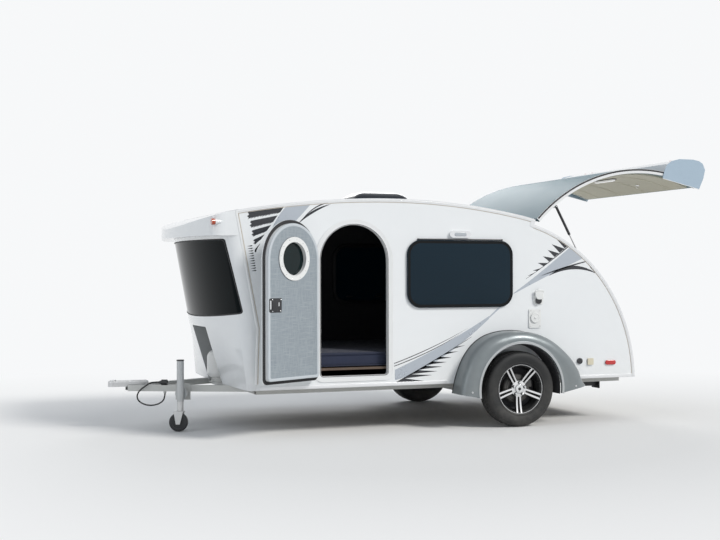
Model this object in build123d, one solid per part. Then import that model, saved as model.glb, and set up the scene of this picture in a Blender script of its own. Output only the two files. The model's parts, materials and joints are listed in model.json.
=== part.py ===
from build123d import *
import os
from math import sin, cos, tan, radians, degrees, atan2, hypot

# A teardrop camping trailer in millimetres.
# +X runs from the coupler to the tail, +Y to the trailer's right side, +Z up.
# The origin is the centre of the coupler's ball socket.
# The rear hatch and the left door are modelled open, as the trailer stands when it is used.

# Ground, body and running gear
ball_height = 360.0
body_width = 1850.0
wall = 30.0
skin_gap = 0.3
run_gap = 6.0
ground = -ball_height
half = body_width / 2
inner_half = half - wall

# Side profile: a crest, one long arc each way from it, one tail arc and a short straight
crest_x = 2080.0
crest_z = 1505.0
front_roof_radius = 7450.0
rear_roof_radius = 5900.0
rear_roof_turn = 11.5
tail_radius = 1430.0
tail_turn = 86.0
seam_top = (789.0, 1392.0)
seam_knee = (958.0, 480.0)
seam_foot = (945.0, 0.0)

# Front cap
cap_depth_top = 267.0
cap_depth_low = 271.0
cap_bow = 177.0
cap_corner = 120.0
cap_glass_top = 1180.0
cap_foot_front = 850.0
cap_foot_bow = 35.0
cap_foot_corner = 40.0
brow_front = 445.0
brow_low = 1196.0
brow_lip = 1272.0
brow_wall = 26.0
window_rake_top = (716.0, 1173.0)
window_rake_foot = (853.0, 597.0)
window_front_drop = 549.0
glass_thick = 6.0
alcove_width = 480.0
alcove_top = 470.0
alcove_back = 1085.0
alcove_wall = 18.0

# Floor, frame and tongue
floor_thick = 25.0
tube = 50.0
tube_wall = 4.0
rail_y = 700.0
rail_front = 1000.0
rail_back = 4330.0
tongue_half_angle = 25.0
tongue_apex = 50.0
tongue_front = 118.0
cross_x = (1025.0, 1750.0, 2500.0, 3200.0, 3890.0, 4305.0)
tray_x = 925.0

# Coupler
ball_radius = 25.6
ball_wall = 6.5
coupler_width = 84.0
coupler_length = 300.0
socket_length = 14.0

# Jack
jack_x = 480.0
jack_offset = 128.0
jack_tube_r = 28.5
jack_leg_r = 25.0
jack_top = 205.0
jack_pivot_z = -60.0
jack_tube_low = -120.0
jack_wheel_r = 75.0
jack_wheel_width = 44.0
jack_trail = 14.0

# Wheels and axle
axle_x = 3145.0
tyre_radius = 311.0
tyre_width = 185.0
rim_lip_radius = 208.0
wheel_inset = 7.0
arm_length = 150.0
arm_angle = 18.0
axle_tube = 76.0
spindle_r = 19.0

# Fender
fender_gap = 62.0
fender_wall = 5.0
fender_overhang = 14.0

# Doors
door_centre = 1753.5
door_clear_half = 284.0
door_clear_low = 94.0
door_clear_top = 1290.0
door_frame_band = 45.0
door_frame_thick = 6.0
door_overlap = 21.5
door_body_thick = 34.0
door_rim_thick = 8.0
door_open = 151.0
hinge_out = 7.0
hinge_side = 12.0
port_radius = 133.0
port_ring = 166.0
port_z = 1015.0

# Side windows
window_centre = (2682.5, 900.0)
window_size = (914.0, 542.0)
window_corner = 120.0
window_band = 20.0
window_proud = 7.0

# Hatch
hatch_angle = 16.8
hatch_rim = 38.0
hatch_panel = 30.0
hatch_gap = 6.0
hatch_open = 64.0
hatch_seal = 5.5

# Galley and cabin
bulkhead_x = 3170.0
counter_z = 540.0
counter_back = 3980.0
shelf_z = 930.0
mattress_top = 283.0
mattress_thick = 128.0

# Roof vent
vent_centre = 2280.0
vent_length = 500.0
vent_width = 420.0
vent_height = 118.0
vent_hinge_gap = 6.0


def line_points(points):
    """Closed face from corner points."""
    return make_face(Polyline(*points, close=True))


def slab(face, y_low, y_high):
    """A side-view face, drawn in x and z, given thickness from y_low to y_high."""
    return Pos(0, y_high, 0) * extrude(Plane.XZ * face, y_high - y_low)


def plate(face, z_low, z_high):
    """A plan-view face given thickness from z_low to z_high."""
    return Pos(0, 0, z_low) * extrude(face, z_high - z_low)


def box(x0, x1, y0, y1, z0, z1):
    """A box from its limits."""
    return Pos((x0 + x1) / 2, (y0 + y1) / 2, (z0 + z1) / 2) * Box(x1 - x0, y1 - y0, z1 - z0)


def rod(start, end, radius):
    """A round bar between two points."""
    a = Vector(*start)
    b = Vector(*end)
    return Plane(origin=a, z_dir=b - a) * extrude(Circle(radius), (b - a).length)


def both(shape):
    """The shape and its mirror image across the trailer's middle."""
    return Compound([*shape.solids(), *mirror(shape, Plane.XZ).solids()])


def group(*shapes):
    """Separate solids kept in one compound."""
    return Compound([s for shape in shapes for s in shape.solids()])


# Profile geometry

front_centre = (crest_x, crest_z - front_roof_radius)
rear_centre = (crest_x, crest_z - rear_roof_radius)
tail_centre = (
    crest_x + (rear_roof_radius - tail_radius) * sin(radians(rear_roof_turn)),
    crest_z - rear_roof_radius + (rear_roof_radius - tail_radius) * cos(radians(rear_roof_turn)),
)


def on_arc(centre, radius, turn):
    """Point of a profile arc whose outward normal leans turn degrees to the rear."""
    return (centre[0] + radius * sin(radians(turn)), centre[1] + radius * cos(radians(turn)))


def profile_arc(centre, radius, turn_a, turn_b):
    """Profile arc between two turns of its normal."""
    middle = (turn_a + turn_b) / 2
    return ThreePointArc(on_arc(centre, radius, turn_a), on_arc(centre, radius, middle),
                         on_arc(centre, radius, turn_b))


def front_turn(x, depth=0.0):
    """Turn of the front roof arc's normal at x, negative ahead of the crest."""
    return -degrees(atan2(crest_x - x, (front_roof_radius**2 - (crest_x - x)**2) ** 0.5))


def roof_height(x, depth=0.0):
    """Height of the roof line at x, depth below the outer surface."""
    if x < crest_x:
        return front_centre[1] + ((front_roof_radius - depth)**2 - (crest_x - x)**2) ** 0.5
    if x < on_arc(rear_centre, rear_roof_radius, rear_roof_turn)[0]:
        return rear_centre[1] + ((rear_roof_radius - depth)**2 - (x - crest_x)**2) ** 0.5
    return tail_centre[1] + ((tail_radius - depth)**2 - (x - tail_centre[0])**2) ** 0.5


def tail_point(turn, depth=0.0):
    """Point on the tail arc, depth inside the outer surface."""
    return on_arc(tail_centre, tail_radius - depth, turn)


def tail_foot(depth, z=0.0):
    """Point at height z on the straight below the tail arc."""
    top = tail_point(tail_turn, depth)
    return (top[0] + (top[1] - z) / tan(radians(tail_turn)), z)


def wall_outline(depth=0.0):
    """Side wall outline: raked front seam, roof line, step for the hatch and tail edge."""
    edge = hatch_rim + hatch_seal
    front = (seam_top[0], roof_height(seam_top[0], depth))
    crest = (crest_x, crest_z - depth)
    turn_0 = front_turn(seam_top[0])
    lines = [
        ThreePointArc(front, on_arc(front_centre, front_roof_radius - depth, turn_0 / 2), crest),
        profile_arc(rear_centre, rear_roof_radius - depth, 0, rear_roof_turn),
        profile_arc(tail_centre, tail_radius - depth, rear_roof_turn, hatch_angle),
        Line(tail_point(hatch_angle, depth), tail_point(hatch_angle, edge)),
        profile_arc(tail_centre, tail_radius - edge, hatch_angle, tail_turn),
        Line(tail_point(tail_turn, edge), tail_foot(edge)),
        Line(tail_foot(edge), seam_foot),
        Line(seam_foot, seam_knee),
        Line(seam_knee, front),
    ]
    return make_face(Wire(lines))


def arch(half_width, low, top, corner=24.0):
    """Door shape with a round top, drawn in x and z about the door's centre line."""
    spring = top - half_width
    base = Pos(door_centre, (low + spring) / 2) * Rectangle(2 * half_width, spring - low)
    base = fillet(base.vertices().sort_by(Axis.Y)[:2], corner)
    return base + Pos(door_centre, spring) * Circle(half_width)


def window_shape(grow):
    """Side window outline with rounded corners."""
    w, h = window_size
    return Pos(*window_centre) * RectangleRounded(w + 2 * grow, h + 2 * grow, window_corner + grow)


# Body shell

def side_wall():
    """Right wall panel with its doorway and window cut through."""
    face = wall_outline()
    face -= arch(door_clear_half + door_jamb, door_clear_low - door_jamb, door_clear_top + door_jamb)
    face -= window_shape(0)
    return slab(face, inner_half, half) + strut_wall_pin()


def roof_panel():
    """Roof between the walls, from the front seam to the hatch."""
    front = (seam_top[0] + 0.5, roof_height(seam_top[0] + 0.5))
    outer = [
        ThreePointArc(front, on_arc(front_centre, front_roof_radius, front_turn(front[0]) / 2),
                      (crest_x, crest_z)),
        profile_arc(rear_centre, rear_roof_radius, 0, rear_roof_turn),
        profile_arc(tail_centre, tail_radius, rear_roof_turn, hatch_angle),
    ]
    back = cap_seam_x(roof_height(seam_top[0]) - wall) + 0.5
    inner = [
        profile_arc(tail_centre, tail_radius - wall, hatch_angle, rear_roof_turn),
        profile_arc(rear_centre, rear_roof_radius - wall, rear_roof_turn, 0),
        ThreePointArc((crest_x, crest_z - wall),
                      on_arc(front_centre, front_roof_radius - wall, front_turn(back) / 2),
                      (back, roof_height(back, wall))),
    ]
    ends = [
        Line(tail_point(hatch_angle), tail_point(hatch_angle, wall)),
        Line((back, roof_height(back, wall)), front),
    ]
    face = make_face(Wire(outer + [ends[0]] + inner + [ends[1]]))
    hole = box(vent_centre - vent_duct / 2, vent_centre + vent_duct / 2, -vent_duct / 2, vent_duct / 2,
               crest_z - 200, crest_z + 200)
    return slab(face, -inner_half, inner_half) - hole


def edge_trim():
    """Right corner moulding along the roof edge and down the wall's tail edge."""
    band = wall_outline() - wall_outline_inset(trim_band)
    return slab(band, half, half + trim_thick)


def wall_outline_inset(inset):
    """Wall outline pulled in along its roof and tail edges only."""
    edge = hatch_rim + hatch_seal + inset
    start = (seam_top[0] - 200, roof_height(seam_top[0], inset) - 40)
    crest = (crest_x, crest_z - inset)
    first = (seam_top[0] - 30, roof_height(seam_top[0] - 30, inset))
    turn_0 = front_turn(first[0])
    lines = [
        Line(start, first),
        ThreePointArc(first, on_arc(front_centre, front_roof_radius - inset, turn_0 / 2), crest),
        profile_arc(rear_centre, rear_roof_radius - inset, 0, rear_roof_turn),
        profile_arc(tail_centre, tail_radius - inset, rear_roof_turn, hatch_angle - 1.5),
        Line(tail_point(hatch_angle - 1.5, inset), tail_point(hatch_angle - 1.5, edge)),
        profile_arc(tail_centre, tail_radius - edge, hatch_angle - 1.5, tail_turn),
        Line(tail_point(tail_turn, edge), tail_foot(edge, -50)),
        Line(tail_foot(edge, -50), (start[0], -50)),
        Line((start[0], -50), start),
    ]
    return make_face(Wire(lines))


door_jamb = 18.0
trim_band = 26.0
trim_thick = 3.0
vent_duct = 356.0


# Front cap

def cap_seam_x(z):
    """The seam between cap and wall at height z."""
    if z > seam_knee[1]:
        share = (z - seam_knee[1]) / (seam_top[1] - seam_knee[1])
        return seam_knee[0] + share * (seam_top[0] - seam_knee[0])
    return seam_foot[0] + z / seam_knee[1] * (seam_knee[0] - seam_foot[0])


def cap_section(z, front, bow, corner, inset, back_extra=0.0):
    """Plan section of the cap: sides, rounded corners and a bowed front."""
    y = half - inset
    x_front = front + inset
    back = cap_seam_x(z) + back_extra
    lines = [
        Line((back, -y), (x_front + bow, -y)),
        ThreePointArc((x_front + bow, -y), (x_front, 0), (x_front + bow, y)),
        Line((x_front + bow, y), (back, y)),
        Line((back, y), (back, -y)),
    ]
    face = make_face(Wire(lines))
    ends = [v for v in face.vertices() if v.X < back - 1]
    return Pos(0, 0, z) * fillet(ends, max(corner - inset, 6))


def cap_body(inset, back_extra=0.0):
    """Loft of the cap from its foot to the roof, pulled in by inset."""
    low = window_front_drop
    foot = cap_section(0.0, cap_foot_front, cap_foot_bow, cap_foot_corner, inset, back_extra)
    belt = cap_section(low, cap_seam_x(low) - cap_depth_low, cap_bow, cap_corner, inset, back_extra)
    rise = seam_top[1] + 60 - low
    lean = cap_seam_x(seam_top[1]) - cap_seam_x(low)
    run = lean * rise / (seam_top[1] - low)
    upper = extrude(belt, hypot(run, rise), dir=(run, 0, rise))
    return upper + loft([foot, belt], ruled=True)


def cap_side_region(inset):
    """Side-view region that holds the cap between its curved foot and the roof line."""
    roof_turn = front_turn(seam_top[0])
    top_back = (seam_top[0], roof_height(seam_top[0], inset))
    nose = (brow_front - 5, brow_lip - inset)
    slope = (cos(radians(-roof_turn)), sin(radians(-roof_turn)))
    lines = [
        TangentArc(top_back, nose, tangent=(-slope[0], -slope[1])),
        Line(nose, (nose[0], brow_low + inset)),
        Line((nose[0], brow_low + inset), (300, brow_low + inset)),
        Line((300, brow_low + inset), (300, inset)),
        Line((300, inset), (seam_foot[0], inset)),
        Line((seam_foot[0], inset), seam_knee),
        Line(seam_knee, top_back),
    ]
    return make_face(Wire(lines))


def brow_body(inset):
    """The visor over the front window, with its own deeper plan."""
    face = cap_section(0, brow_front, cap_bow, cap_corner, inset)
    return plate(Pos(0, 0, 0) * face, brow_low + inset, seam_top[1] + 60)


def front_window_region(grow):
    """Side-view region of the wraparound front window."""
    top = window_rake_top
    foot = window_rake_foot
    face = line_points([
        (300, top[1] + 7 + grow),
        (top[0] + grow, top[1] + grow),
        (foot[0] + grow, foot[1] - grow),
        (300, window_front_drop - 90 - grow),
    ])
    return fillet(face.vertices().sort_by(Axis.X)[-2:], 22 + grow)


def front_cap():
    """Moulded front cap: brow, window band, tapered foot and the gas bottle alcove."""
    outer = (cap_body(0) + brow_body(0)) & slab(cap_side_region(0), -half - 10, half + 10)
    inner = (cap_body(wall, back_extra=60) + brow_body(wall)) & slab(
        cap_inner_region(), -half, half)
    shell = outer - inner
    shell -= slab(front_window_region(0), -half - 10, half + 10)
    y = alcove_width / 2
    block = box(400, alcove_back + alcove_wall, -y - alcove_wall, y + alcove_wall,
                -50, alcove_top + alcove_wall)
    reach = cap_body(0, back_extra=200) & slab(cap_reach_region(), -half, half)
    shell += block & reach
    shell -= box(400, alcove_back, -y, y, -60, alcove_top)
    return shell


def cap_inner_region():
    """Side-view region of the space inside the cap, open to the cabin."""
    back = 1020.0
    top_back = (seam_top[0] + 60, roof_height(seam_top[0] + 60, wall) + 0)
    nose = (brow_front + brow_wall + 4, brow_lip - 22)
    lines = [
        Line(top_back, (nose[0] + 150, nose[1] + 60)),
        Line((nose[0] + 150, nose[1] + 60), nose),
        Line(nose, (nose[0], brow_low + wall)),
        Line((nose[0], brow_low + wall), (300, brow_low + wall)),
        Line((300, brow_low + wall), (300, wall)),
        Line((300, wall), (back, wall)),
        Line((back, wall), (back, top_back[1])),
        Line((back, top_back[1]), top_back),
    ]
    return make_face(Wire(lines))


def cap_reach_region():
    """Side-view region that the alcove's walls may fill."""
    return line_points([
        (300, 0), (alcove_back + alcove_wall, 0), (alcove_back + alcove_wall, alcove_top + alcove_wall),
        (300, alcove_top + alcove_wall),
    ])


def front_window():
    """Dark wraparound glass let into the cap."""
    sheet = cap_body(1.0) - cap_body(1.0 + glass_thick, back_extra=60)
    return sheet & slab(front_window_region(-1.0), -half, half)


# Floor, frame and tongue

def floor_panel():
    """Floor between the walls with a notch for the alcove."""
    back = tail_foot(hatch_rim + hatch_seal)[0] - 4
    y = alcove_width / 2 + alcove_wall + 1
    floor = box(seam_foot[0] + 2, back, -inner_half, inner_half, 0, floor_thick)
    return floor - box(900, alcove_back + alcove_wall + 1, -y, y, -10, floor_thick + 10)


def hollow_bar(length):
    """Square tube along X from the origin."""
    outer = Pos(length / 2, 0, -tube / 2) * Box(length, tube, tube)
    bore = tube - 2 * tube_wall
    return outer - Pos(length / 2, 0, -tube / 2) * Box(length + 2, bore, bore)


def tongue_y(x):
    """Distance of a tongue rail's centre line from the middle at x."""
    return (x - tongue_apex) * tan(radians(tongue_half_angle))


def tongue_bar(grow=0.0):
    """Right tongue rail as a solid bar, for cutting its neighbours."""
    run = (rail_y - tube / 2 - tongue_y(tongue_front)) / sin(radians(tongue_half_angle)) + 120
    bar = Pos(run / 2, 0, -tube / 2) * Box(run, tube + 2 * grow, tube + 2 * grow)
    return Pos(tongue_front, tongue_y(tongue_front), 0) * Rot(0, 0, tongue_half_angle) * bar


def tongue_rails():
    """Two square tubes that run back from the coupler under the body."""
    run = (rail_y - tube / 2 - tongue_y(tongue_front)) / sin(radians(tongue_half_angle)) + 120
    rail = Pos(tongue_front, tongue_y(tongue_front), 0) * Rot(0, 0, tongue_half_angle) * hollow_bar(run)
    rail -= box(0, 3000, rail_y - tube / 2, rail_y + 300, -100, 50)
    rail -= box(0, 600, -100, 0.5, -100, 50)
    return group(rail, mirror(rail, Plane.XZ) + cable_gland())


def side_rails():
    """Long rails of the main frame."""
    return both(Pos(rail_front, rail_y, 0) * hollow_bar(rail_back - rail_front))


def cross_members():
    """Square tubes across the main frame and between the tongue rails."""
    reach = rail_y - tube / 2
    bars = []
    cutter = both(tongue_bar())
    for x in cross_x:
        bar = Pos(x, -reach, 0) * Rot(0, 0, 90) * hollow_bar(2 * reach)
        for bit in cutter.solids():
            bar -= bit
        bars.append(bar)
    spread = tongue_y(tray_x) - tube / 2
    bar = Pos(tray_x, -spread - 40, 0) * Rot(0, 0, 90) * hollow_bar(2 * spread + 80)
    for bit in cutter.solids():
        bar -= bit
    kept = [s for s in bar.solids() if abs(s.center().Y) < 50]
    return group(*bars, *kept)


def coupler():
    """Pressed coupler: ball dome, channel body and the latch housing."""
    shell_r = ball_radius + ball_wall
    top = 34.0
    low = -14.0
    plan = Pos(coupler_length / 2 - 10, 0) * Rectangle(coupler_length - 20, coupler_width)
    nose = Circle(42.0)
    body = plate(nose + plan, low, top)
    body = fillet(body.edges().filter_by(GeomType.LINE).group_by(Axis.Z)[-1], 12)
    hollow = plate(Pos(coupler_length / 2 + 20, 0) * Rectangle(coupler_length - 60, coupler_width - 10),
                   low - 1, top - 6)
    body -= hollow
    body -= Sphere(ball_radius) & box(-60, 60, -60, 60, -1, 60)
    body -= Pos(0, 0, low - 1) * extrude(Circle(ball_radius), 1 - low)
    rails = both(tongue_bar(1.0))
    for bit in rails.solids():
        body -= bit
    body += Pos(0, 0, top - 8) * extrude(Circle(shell_r * 0.8), 14, taper=12)
    return body


# Jack

def jack_place():
    """The jack's plan position, outside the left tongue rail."""
    a = radians(tongue_half_angle)
    return (jack_x, -tongue_y(jack_x) - jack_offset / cos(a))


def jack_frame(shape):
    """Turns a shape drawn about the jack's axis so that its local X runs along the rail."""
    x, y = jack_place()
    return Pos(x, y, 0) * Rot(0, 0, -tongue_half_angle) * shape


def jack_bracket():
    """Plate on the rail, spacer tube and the fixed swivel disc."""
    gap = jack_offset - tube / 2
    disc = 8.0
    near = jack_tube_r + 12.0
    back = Pos(0, gap - 4, jack_pivot_z + 10) * Box(120, 8, 130)
    spacer = rod((0, near + disc, jack_pivot_z), (0, gap - 8, jack_pivot_z), 32)
    plate_disc = rod((0, near, jack_pivot_z), (0, near + disc, jack_pivot_z), 52)
    return jack_frame(back + spacer + plate_disc)


def jack_tube():
    """Outer jack tube with its swivel saddle, cap and pull pin."""
    near = jack_tube_r + 12.0
    body = Pos(0, 0, jack_tube_low) * extrude(Circle(jack_tube_r) - Circle(jack_leg_r + 0.6),
                                              jack_top - jack_tube_low)
    cap = Pos(0, 0, jack_top) * extrude(Circle(jack_tube_r + 2), 10)
    saddle = box(-20, 20, jack_tube_r - 6, near - 8, jack_pivot_z - 40, jack_pivot_z + 40)
    disc = rod((0, near - 8, jack_pivot_z), (0, near - 0.4, jack_pivot_z), 48)
    saddle -= Pos(0, 0, jack_tube_low - 5) * extrude(Circle(jack_leg_r + 0.6), 400)
    return jack_frame(body + cap + saddle + disc)


def jack_leg():
    """Sliding inner leg with the swivel stem under it."""
    low = jack_leg_low
    leg = Pos(0, 0, low) * extrude(Circle(jack_leg_r), jack_top - 60 - low)
    stem = Pos(0, 0, low - 12) * extrude(Circle(9), 12)
    return jack_frame(leg + stem)


def jack_fork():
    """Caster fork: top plate over the wheel and two cheeks."""
    top = jack_leg_low - 4.3
    bore = Circle(9.4)
    base = Pos(-jack_trail / 2, 0, top - 6) * extrude(
        RectangleRounded(70 + jack_trail, jack_wheel_width + 24, 12), 6)
    base -= Pos(0, 0, top - 7) * extrude(bore, 8)
    cheek_face = line_points([(-34 - jack_trail, top - 5), (28, top - 5), (-jack_trail + 16, axle_z_jack - 16),
                              (-jack_trail - 16, axle_z_jack - 16)])
    y = jack_wheel_width / 2 + 5
    cheeks = slab(cheek_face, y, y + 6) + slab(cheek_face, -y - 6, -y)
    pin = rod((-jack_trail, -y - 6, axle_z_jack), (-jack_trail, y + 6, axle_z_jack), 6)
    return jack_frame(base + cheeks + pin)


def jack_wheel():
    """Jack wheel with a rounded tread and a hub bore."""
    w = jack_wheel_width / 2
    face = Circle(jack_wheel_r) - Circle(6.3)
    wheel = slab(face, -w, w)
    wheel = fillet(wheel.edges().filter_by(GeomType.CIRCLE).sort_by(SortBy.RADIUS)[-2:], 9)
    groove = slab(Circle(jack_wheel_r - 24) - Circle(20), w - 6, w + 1)
    wheel -= groove
    wheel -= mirror(groove, Plane.XZ)
    return jack_frame(Pos(-jack_trail, 0, axle_z_jack) * wheel)


axle_z_jack = ground + jack_wheel_r
jack_leg_low = axle_z_jack + jack_wheel_r + 18.0


# Running gear

wheel_z = ground + tyre_radius
wheel_y = half + wheel_inset + tyre_width / 2


def tyre():
    """Right tyre: a bellied ring with rounded shoulders."""
    w = tyre_width / 2
    tread = w - 22
    bead = 61.0
    rim = rim_seat_radius
    lines = [
        Line((-bead, rim), (-bead, rim + 20)),
        Line((-bead, rim + 20), (-w, rim + 46)),
        ThreePointArc((-w, rim + 46), (-w + 6, rim + 86), (-tread, tyre_radius - 4)),
        ThreePointArc((-tread, tyre_radius - 4), (0, tyre_radius), (tread, tyre_radius - 4)),
        ThreePointArc((tread, tyre_radius - 4), (w - 6, rim + 86), (w, rim + 46)),
        Line((w, rim + 46), (bead, rim + 20)),
        Line((bead, rim + 20), (bead, rim)),
        Line((bead, rim), (-bead, rim)),
    ]
    ring = revolve(make_face(Wire(lines)), Axis.X)
    return Pos(axle_x, wheel_y, wheel_z) * Rot(0, 0, 90) * ring


rim_seat_radius = 192.0
spoke_pairs = 5


def rim():
    """Right wheel: barrel, polished lip, five pairs of spokes and the hub face."""
    w = 70.0
    seat = rim_seat_radius - 0.3
    lip = rim_lip_radius
    barrel = revolve(line_points([
        (-w, lip), (-w - 5, lip), (-w - 5, lip - 12), (-w, seat - 14), (-30, seat - 30),
        (40, seat - 22), (w, seat - 14), (w + 5, lip - 12), (w + 5, lip), (w, lip), (w - 6, seat),
        (-w + 6, seat)]), Axis.X)
    disc = revolve(line_points([(14, 0), (44, 0), (44, 42), (34, 60), (14, 60)]), Axis.X)
    disc -= Pos(10, 0, 0) * Rot(0, 90, 0) * extrude(Circle(30), 26)
    wheel = barrel + disc
    for i in range(spoke_pairs):
        for lean in (-11, 11):
            spoke = line_points([(20, 46), (46, 46), (62, seat - 16), (28, seat - 16)])
            blade = extrude(Plane.XY * spoke, 11, both=True)
            wheel += Rot(360 / spoke_pairs * i + lean, 0, 0) * blade
    return Pos(axle_x, wheel_y, wheel_z) * Rot(0, 0, 90) * wheel


def hub():
    """Right hub and brake drum behind the wheel, with the bearing bore."""
    drum = revolve(line_points([
        (-62, 98), (-62, 112), (0, 112), (13.5, 100), (13.5, 29), (35, 29), (35, spindle_r + 0.3),
        (-50, spindle_r + 0.3), (-50, 44), (-10, 50), (-10, 98)]), Axis.X)
    return Pos(axle_x, wheel_y, wheel_z) * Rot(0, 0, 90) * drum


def axle_beam():
    """Square axle tube with its frame brackets."""
    z = axle_beam_z
    beam = Pos(axle_beam_x, 0, z) * Box(axle_tube, 2 * axle_reach, axle_tube)
    bore = axle_tube - 12
    beam -= Pos(axle_beam_x, 0, z) * Box(bore, 2 * axle_reach + 2, bore)
    parts = beam
    for side in (-1, 1):
        foot = box(axle_beam_x - 75, axle_beam_x + 75, side * rail_y - 25, side * rail_y + 25, -tube - 8, -tube)
        foot += box(axle_beam_x - 75, axle_beam_x - axle_tube / 2, side * rail_y - 5, side * rail_y + 5,
                    z - 20, -tube - 8)
        foot += box(axle_beam_x + axle_tube / 2, axle_beam_x + 75, side * rail_y - 5, side * rail_y + 5,
                    z - 20, -tube - 8)
        parts += foot
    arm = torsion_arm()
    return parts + arm + mirror(arm, Plane.XZ)


axle_reach = half - 60.0
axle_beam_x = axle_x - arm_length * cos(radians(arm_angle))
axle_beam_z = wheel_z - arm_length * sin(radians(arm_angle))


def torsion_arm():
    """Right trailing arm with its inner bar stub and the spindle."""
    y0 = axle_reach + 4
    y1 = y0 + 26
    dx = axle_x - axle_beam_x
    dz = wheel_z - axle_beam_z
    arm = Pos(axle_beam_x, y1, axle_beam_z) * Rot(0, -degrees(atan2(dz, dx)), 0) * slab(
        SlotCenterToCenter(arm_length, 62), -26, 0).moved(Location((arm_length / 2, 0, 0)))
    stub = Pos(axle_beam_x, axle_reach - 20, axle_beam_z) * Box(axle_tube - 12, 49, axle_tube - 12)
    spindle = rod((axle_x, y1 - 2, wheel_z), (axle_x, wheel_y + 30, wheel_z), spindle_r)
    return arm + stub + spindle


def fender():
    """Right fender: moulded shell with a raked flare ahead and a round wheel arch."""
    x, z = axle_x, wheel_z
    arch_r = tyre_radius + fender_gap
    low = -24.0
    outer = line_points([(x - 629, z + low), (x - 590, z + 135), (x - 384, z + 404), (x - 150, z + 478),
                         (x + 60, z + 478), (x + 270, z + 345), (x + 487, z + 68), (x + 515, z + low)])
    outer = fillet(outer.vertices().sort_by(Axis.Y)[2:], 90)
    reach = wheel_y + tyre_width / 2 + fender_overhang
    body = slab(outer, half, reach)
    edges = body.edges().filter_by(lambda e: abs(e.center().Y - reach) < 0.01)
    top_edges = [e for e in edges if e.center().Z > z + low + 1]
    body = chamfer(top_edges, 12)
    inner = offset(outer, -fender_wall)
    hollow = slab(inner, half - 1, reach - fender_wall)
    hollow += slab(Pos(x, z + low) * Rectangle(1100, 20), half - 1, reach - fender_wall)
    shell = body - hollow
    arch_cut = Pos(x, z) * Circle(arch_r) + Pos(x, z - 200) * Rectangle(2 * arch_r, 400)
    return shell - slab(arch_cut, half - 1, reach + 10)


# Doors

door_out = half + door_frame_thick + run_gap
door_face = door_out + door_rim_thick
pivot_y = door_face + hinge_out
pivot_x = door_centre - door_clear_half - door_overlap - hinge_side


def door_frame():
    """Right door frame: outside flange and the jamb through the wall."""
    j = door_jamb
    outer = arch(door_clear_half + door_frame_band, door_clear_low - door_frame_band,
                 door_clear_top + door_frame_band, 60)
    clear = arch(door_clear_half, door_clear_low, door_clear_top)
    liner = arch(door_clear_half + j - 1, door_clear_low - j + 1, door_clear_top + j - 1)
    frame = slab(outer - clear, half, half + door_frame_thick)
    frame += slab(liner - clear, inner_half - 3, half)
    for block in door_hinge_frame().solids():
        frame += block
    return frame


def door_leaf():
    """Right door closed: body inside the jamb and a rim that laps the frame."""
    gap = run_gap
    body = arch(door_clear_half - gap, door_clear_low + gap, door_clear_top - gap)
    rim_face = arch(door_clear_half + door_overlap, door_clear_low - door_overlap,
                    door_clear_top + door_overlap, 40)
    leaf = slab(body, door_out - door_body_thick, door_out)
    leaf += slab(rim_face, door_out, door_face)
    hole = slab(Pos(door_centre, port_z) * Circle(port_radius), inner_half - 50, door_face + 10)
    pocket = slab(Pos(door_centre + 205, 665) * RectangleRounded(140, 112, 10),
                  door_out - door_body_thick - 1, door_out - 4)
    return leaf - hole - pocket + door_rings()


def door_rings():
    """Clamping rings round the right door's port, inside and outside, and their sleeve."""
    y_in = door_out - door_body_thick
    ring = Circle(port_ring) - Circle(port_radius - 6)
    sleeve = Circle(port_radius + 1) - Circle(port_radius - 6)
    place = Pos(door_centre, port_z)
    rings = slab(place * ring, door_face - 1, door_face + 9) + slab(place * ring, y_in - 9, y_in + 1)
    rings += slab(place * sleeve, y_in - 9, door_out - 12)
    return rings + slab(place * sleeve, door_out - 6, door_face + 9)


def door_pane():
    """Round pane of the right door, held in a groove of the sleeve."""
    return slab(Pos(door_centre, port_z) * Circle(port_radius - 0.5), door_out - 12, door_out - 6)


hinge_heights = (230.0, 620.0, 1000.0)
hinge_half = 32.0


def door_hinge_frame():
    """Frame side of the right door's hinges: block, knuckle and pin."""
    parts = []
    for z in hinge_heights:
        block = box(pivot_x - 14, pivot_x + 2, half + door_frame_thick - 1, pivot_y, z - hinge_half, z - 2)
        knuckle = rod((pivot_x, pivot_y, z - hinge_half), (pivot_x, pivot_y, z - 0.5), 5.5)
        pin = rod((pivot_x, pivot_y, z - 1), (pivot_x, pivot_y, z + hinge_half), 2.5)
        parts.append(block + knuckle + pin)
    return group(*parts)


def door_fittings():
    """Right door's latch, outside handle and hinge leaves."""
    parts = []
    for z in hinge_heights:
        knuckle = rod((pivot_x, pivot_y, z), (pivot_x, pivot_y, z + hinge_half), 5.5)
        leaf = box(pivot_x, pivot_x + 46, door_face, door_face + 3.5, z, z + hinge_half)
        leaf = leaf + knuckle
        leaf -= rod((pivot_x, pivot_y, z - 1), (pivot_x, pivot_y, z + hinge_half + 1), 2.6)
        parts.append(leaf)
    y_in = door_out - door_body_thick
    case = slab(Pos(door_centre + 205, 665) * RectangleRounded(136, 107, 8), y_in - 3, door_out - 4)
    grip = slab(Pos(door_centre + 215, 665) * RectangleRounded(96, 118, 16), door_face, door_face + 14)
    grip -= slab(Pos(door_centre + 208, 665) * RectangleRounded(56, 82, 10), door_face + 4, door_face + 20)
    return group(*parts, case, grip)


def swing_door(shape):
    """Left door piece: mirrored, then turned open about its hinge pins."""
    left = mirror(shape, Plane.XZ)
    return Pos(pivot_x, -pivot_y, 0) * Rot(0, 0, -door_open) * Pos(-pivot_x, pivot_y, 0) * left


# Side windows

def window_frame():
    """Right window frame: outside flange and the liner through the wall."""
    flange = slab(window_shape(window_band) - window_shape(-14), half, half + window_proud)
    return flange + slab(window_shape(-1) - window_shape(-14), inner_half - 3, half)


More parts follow.
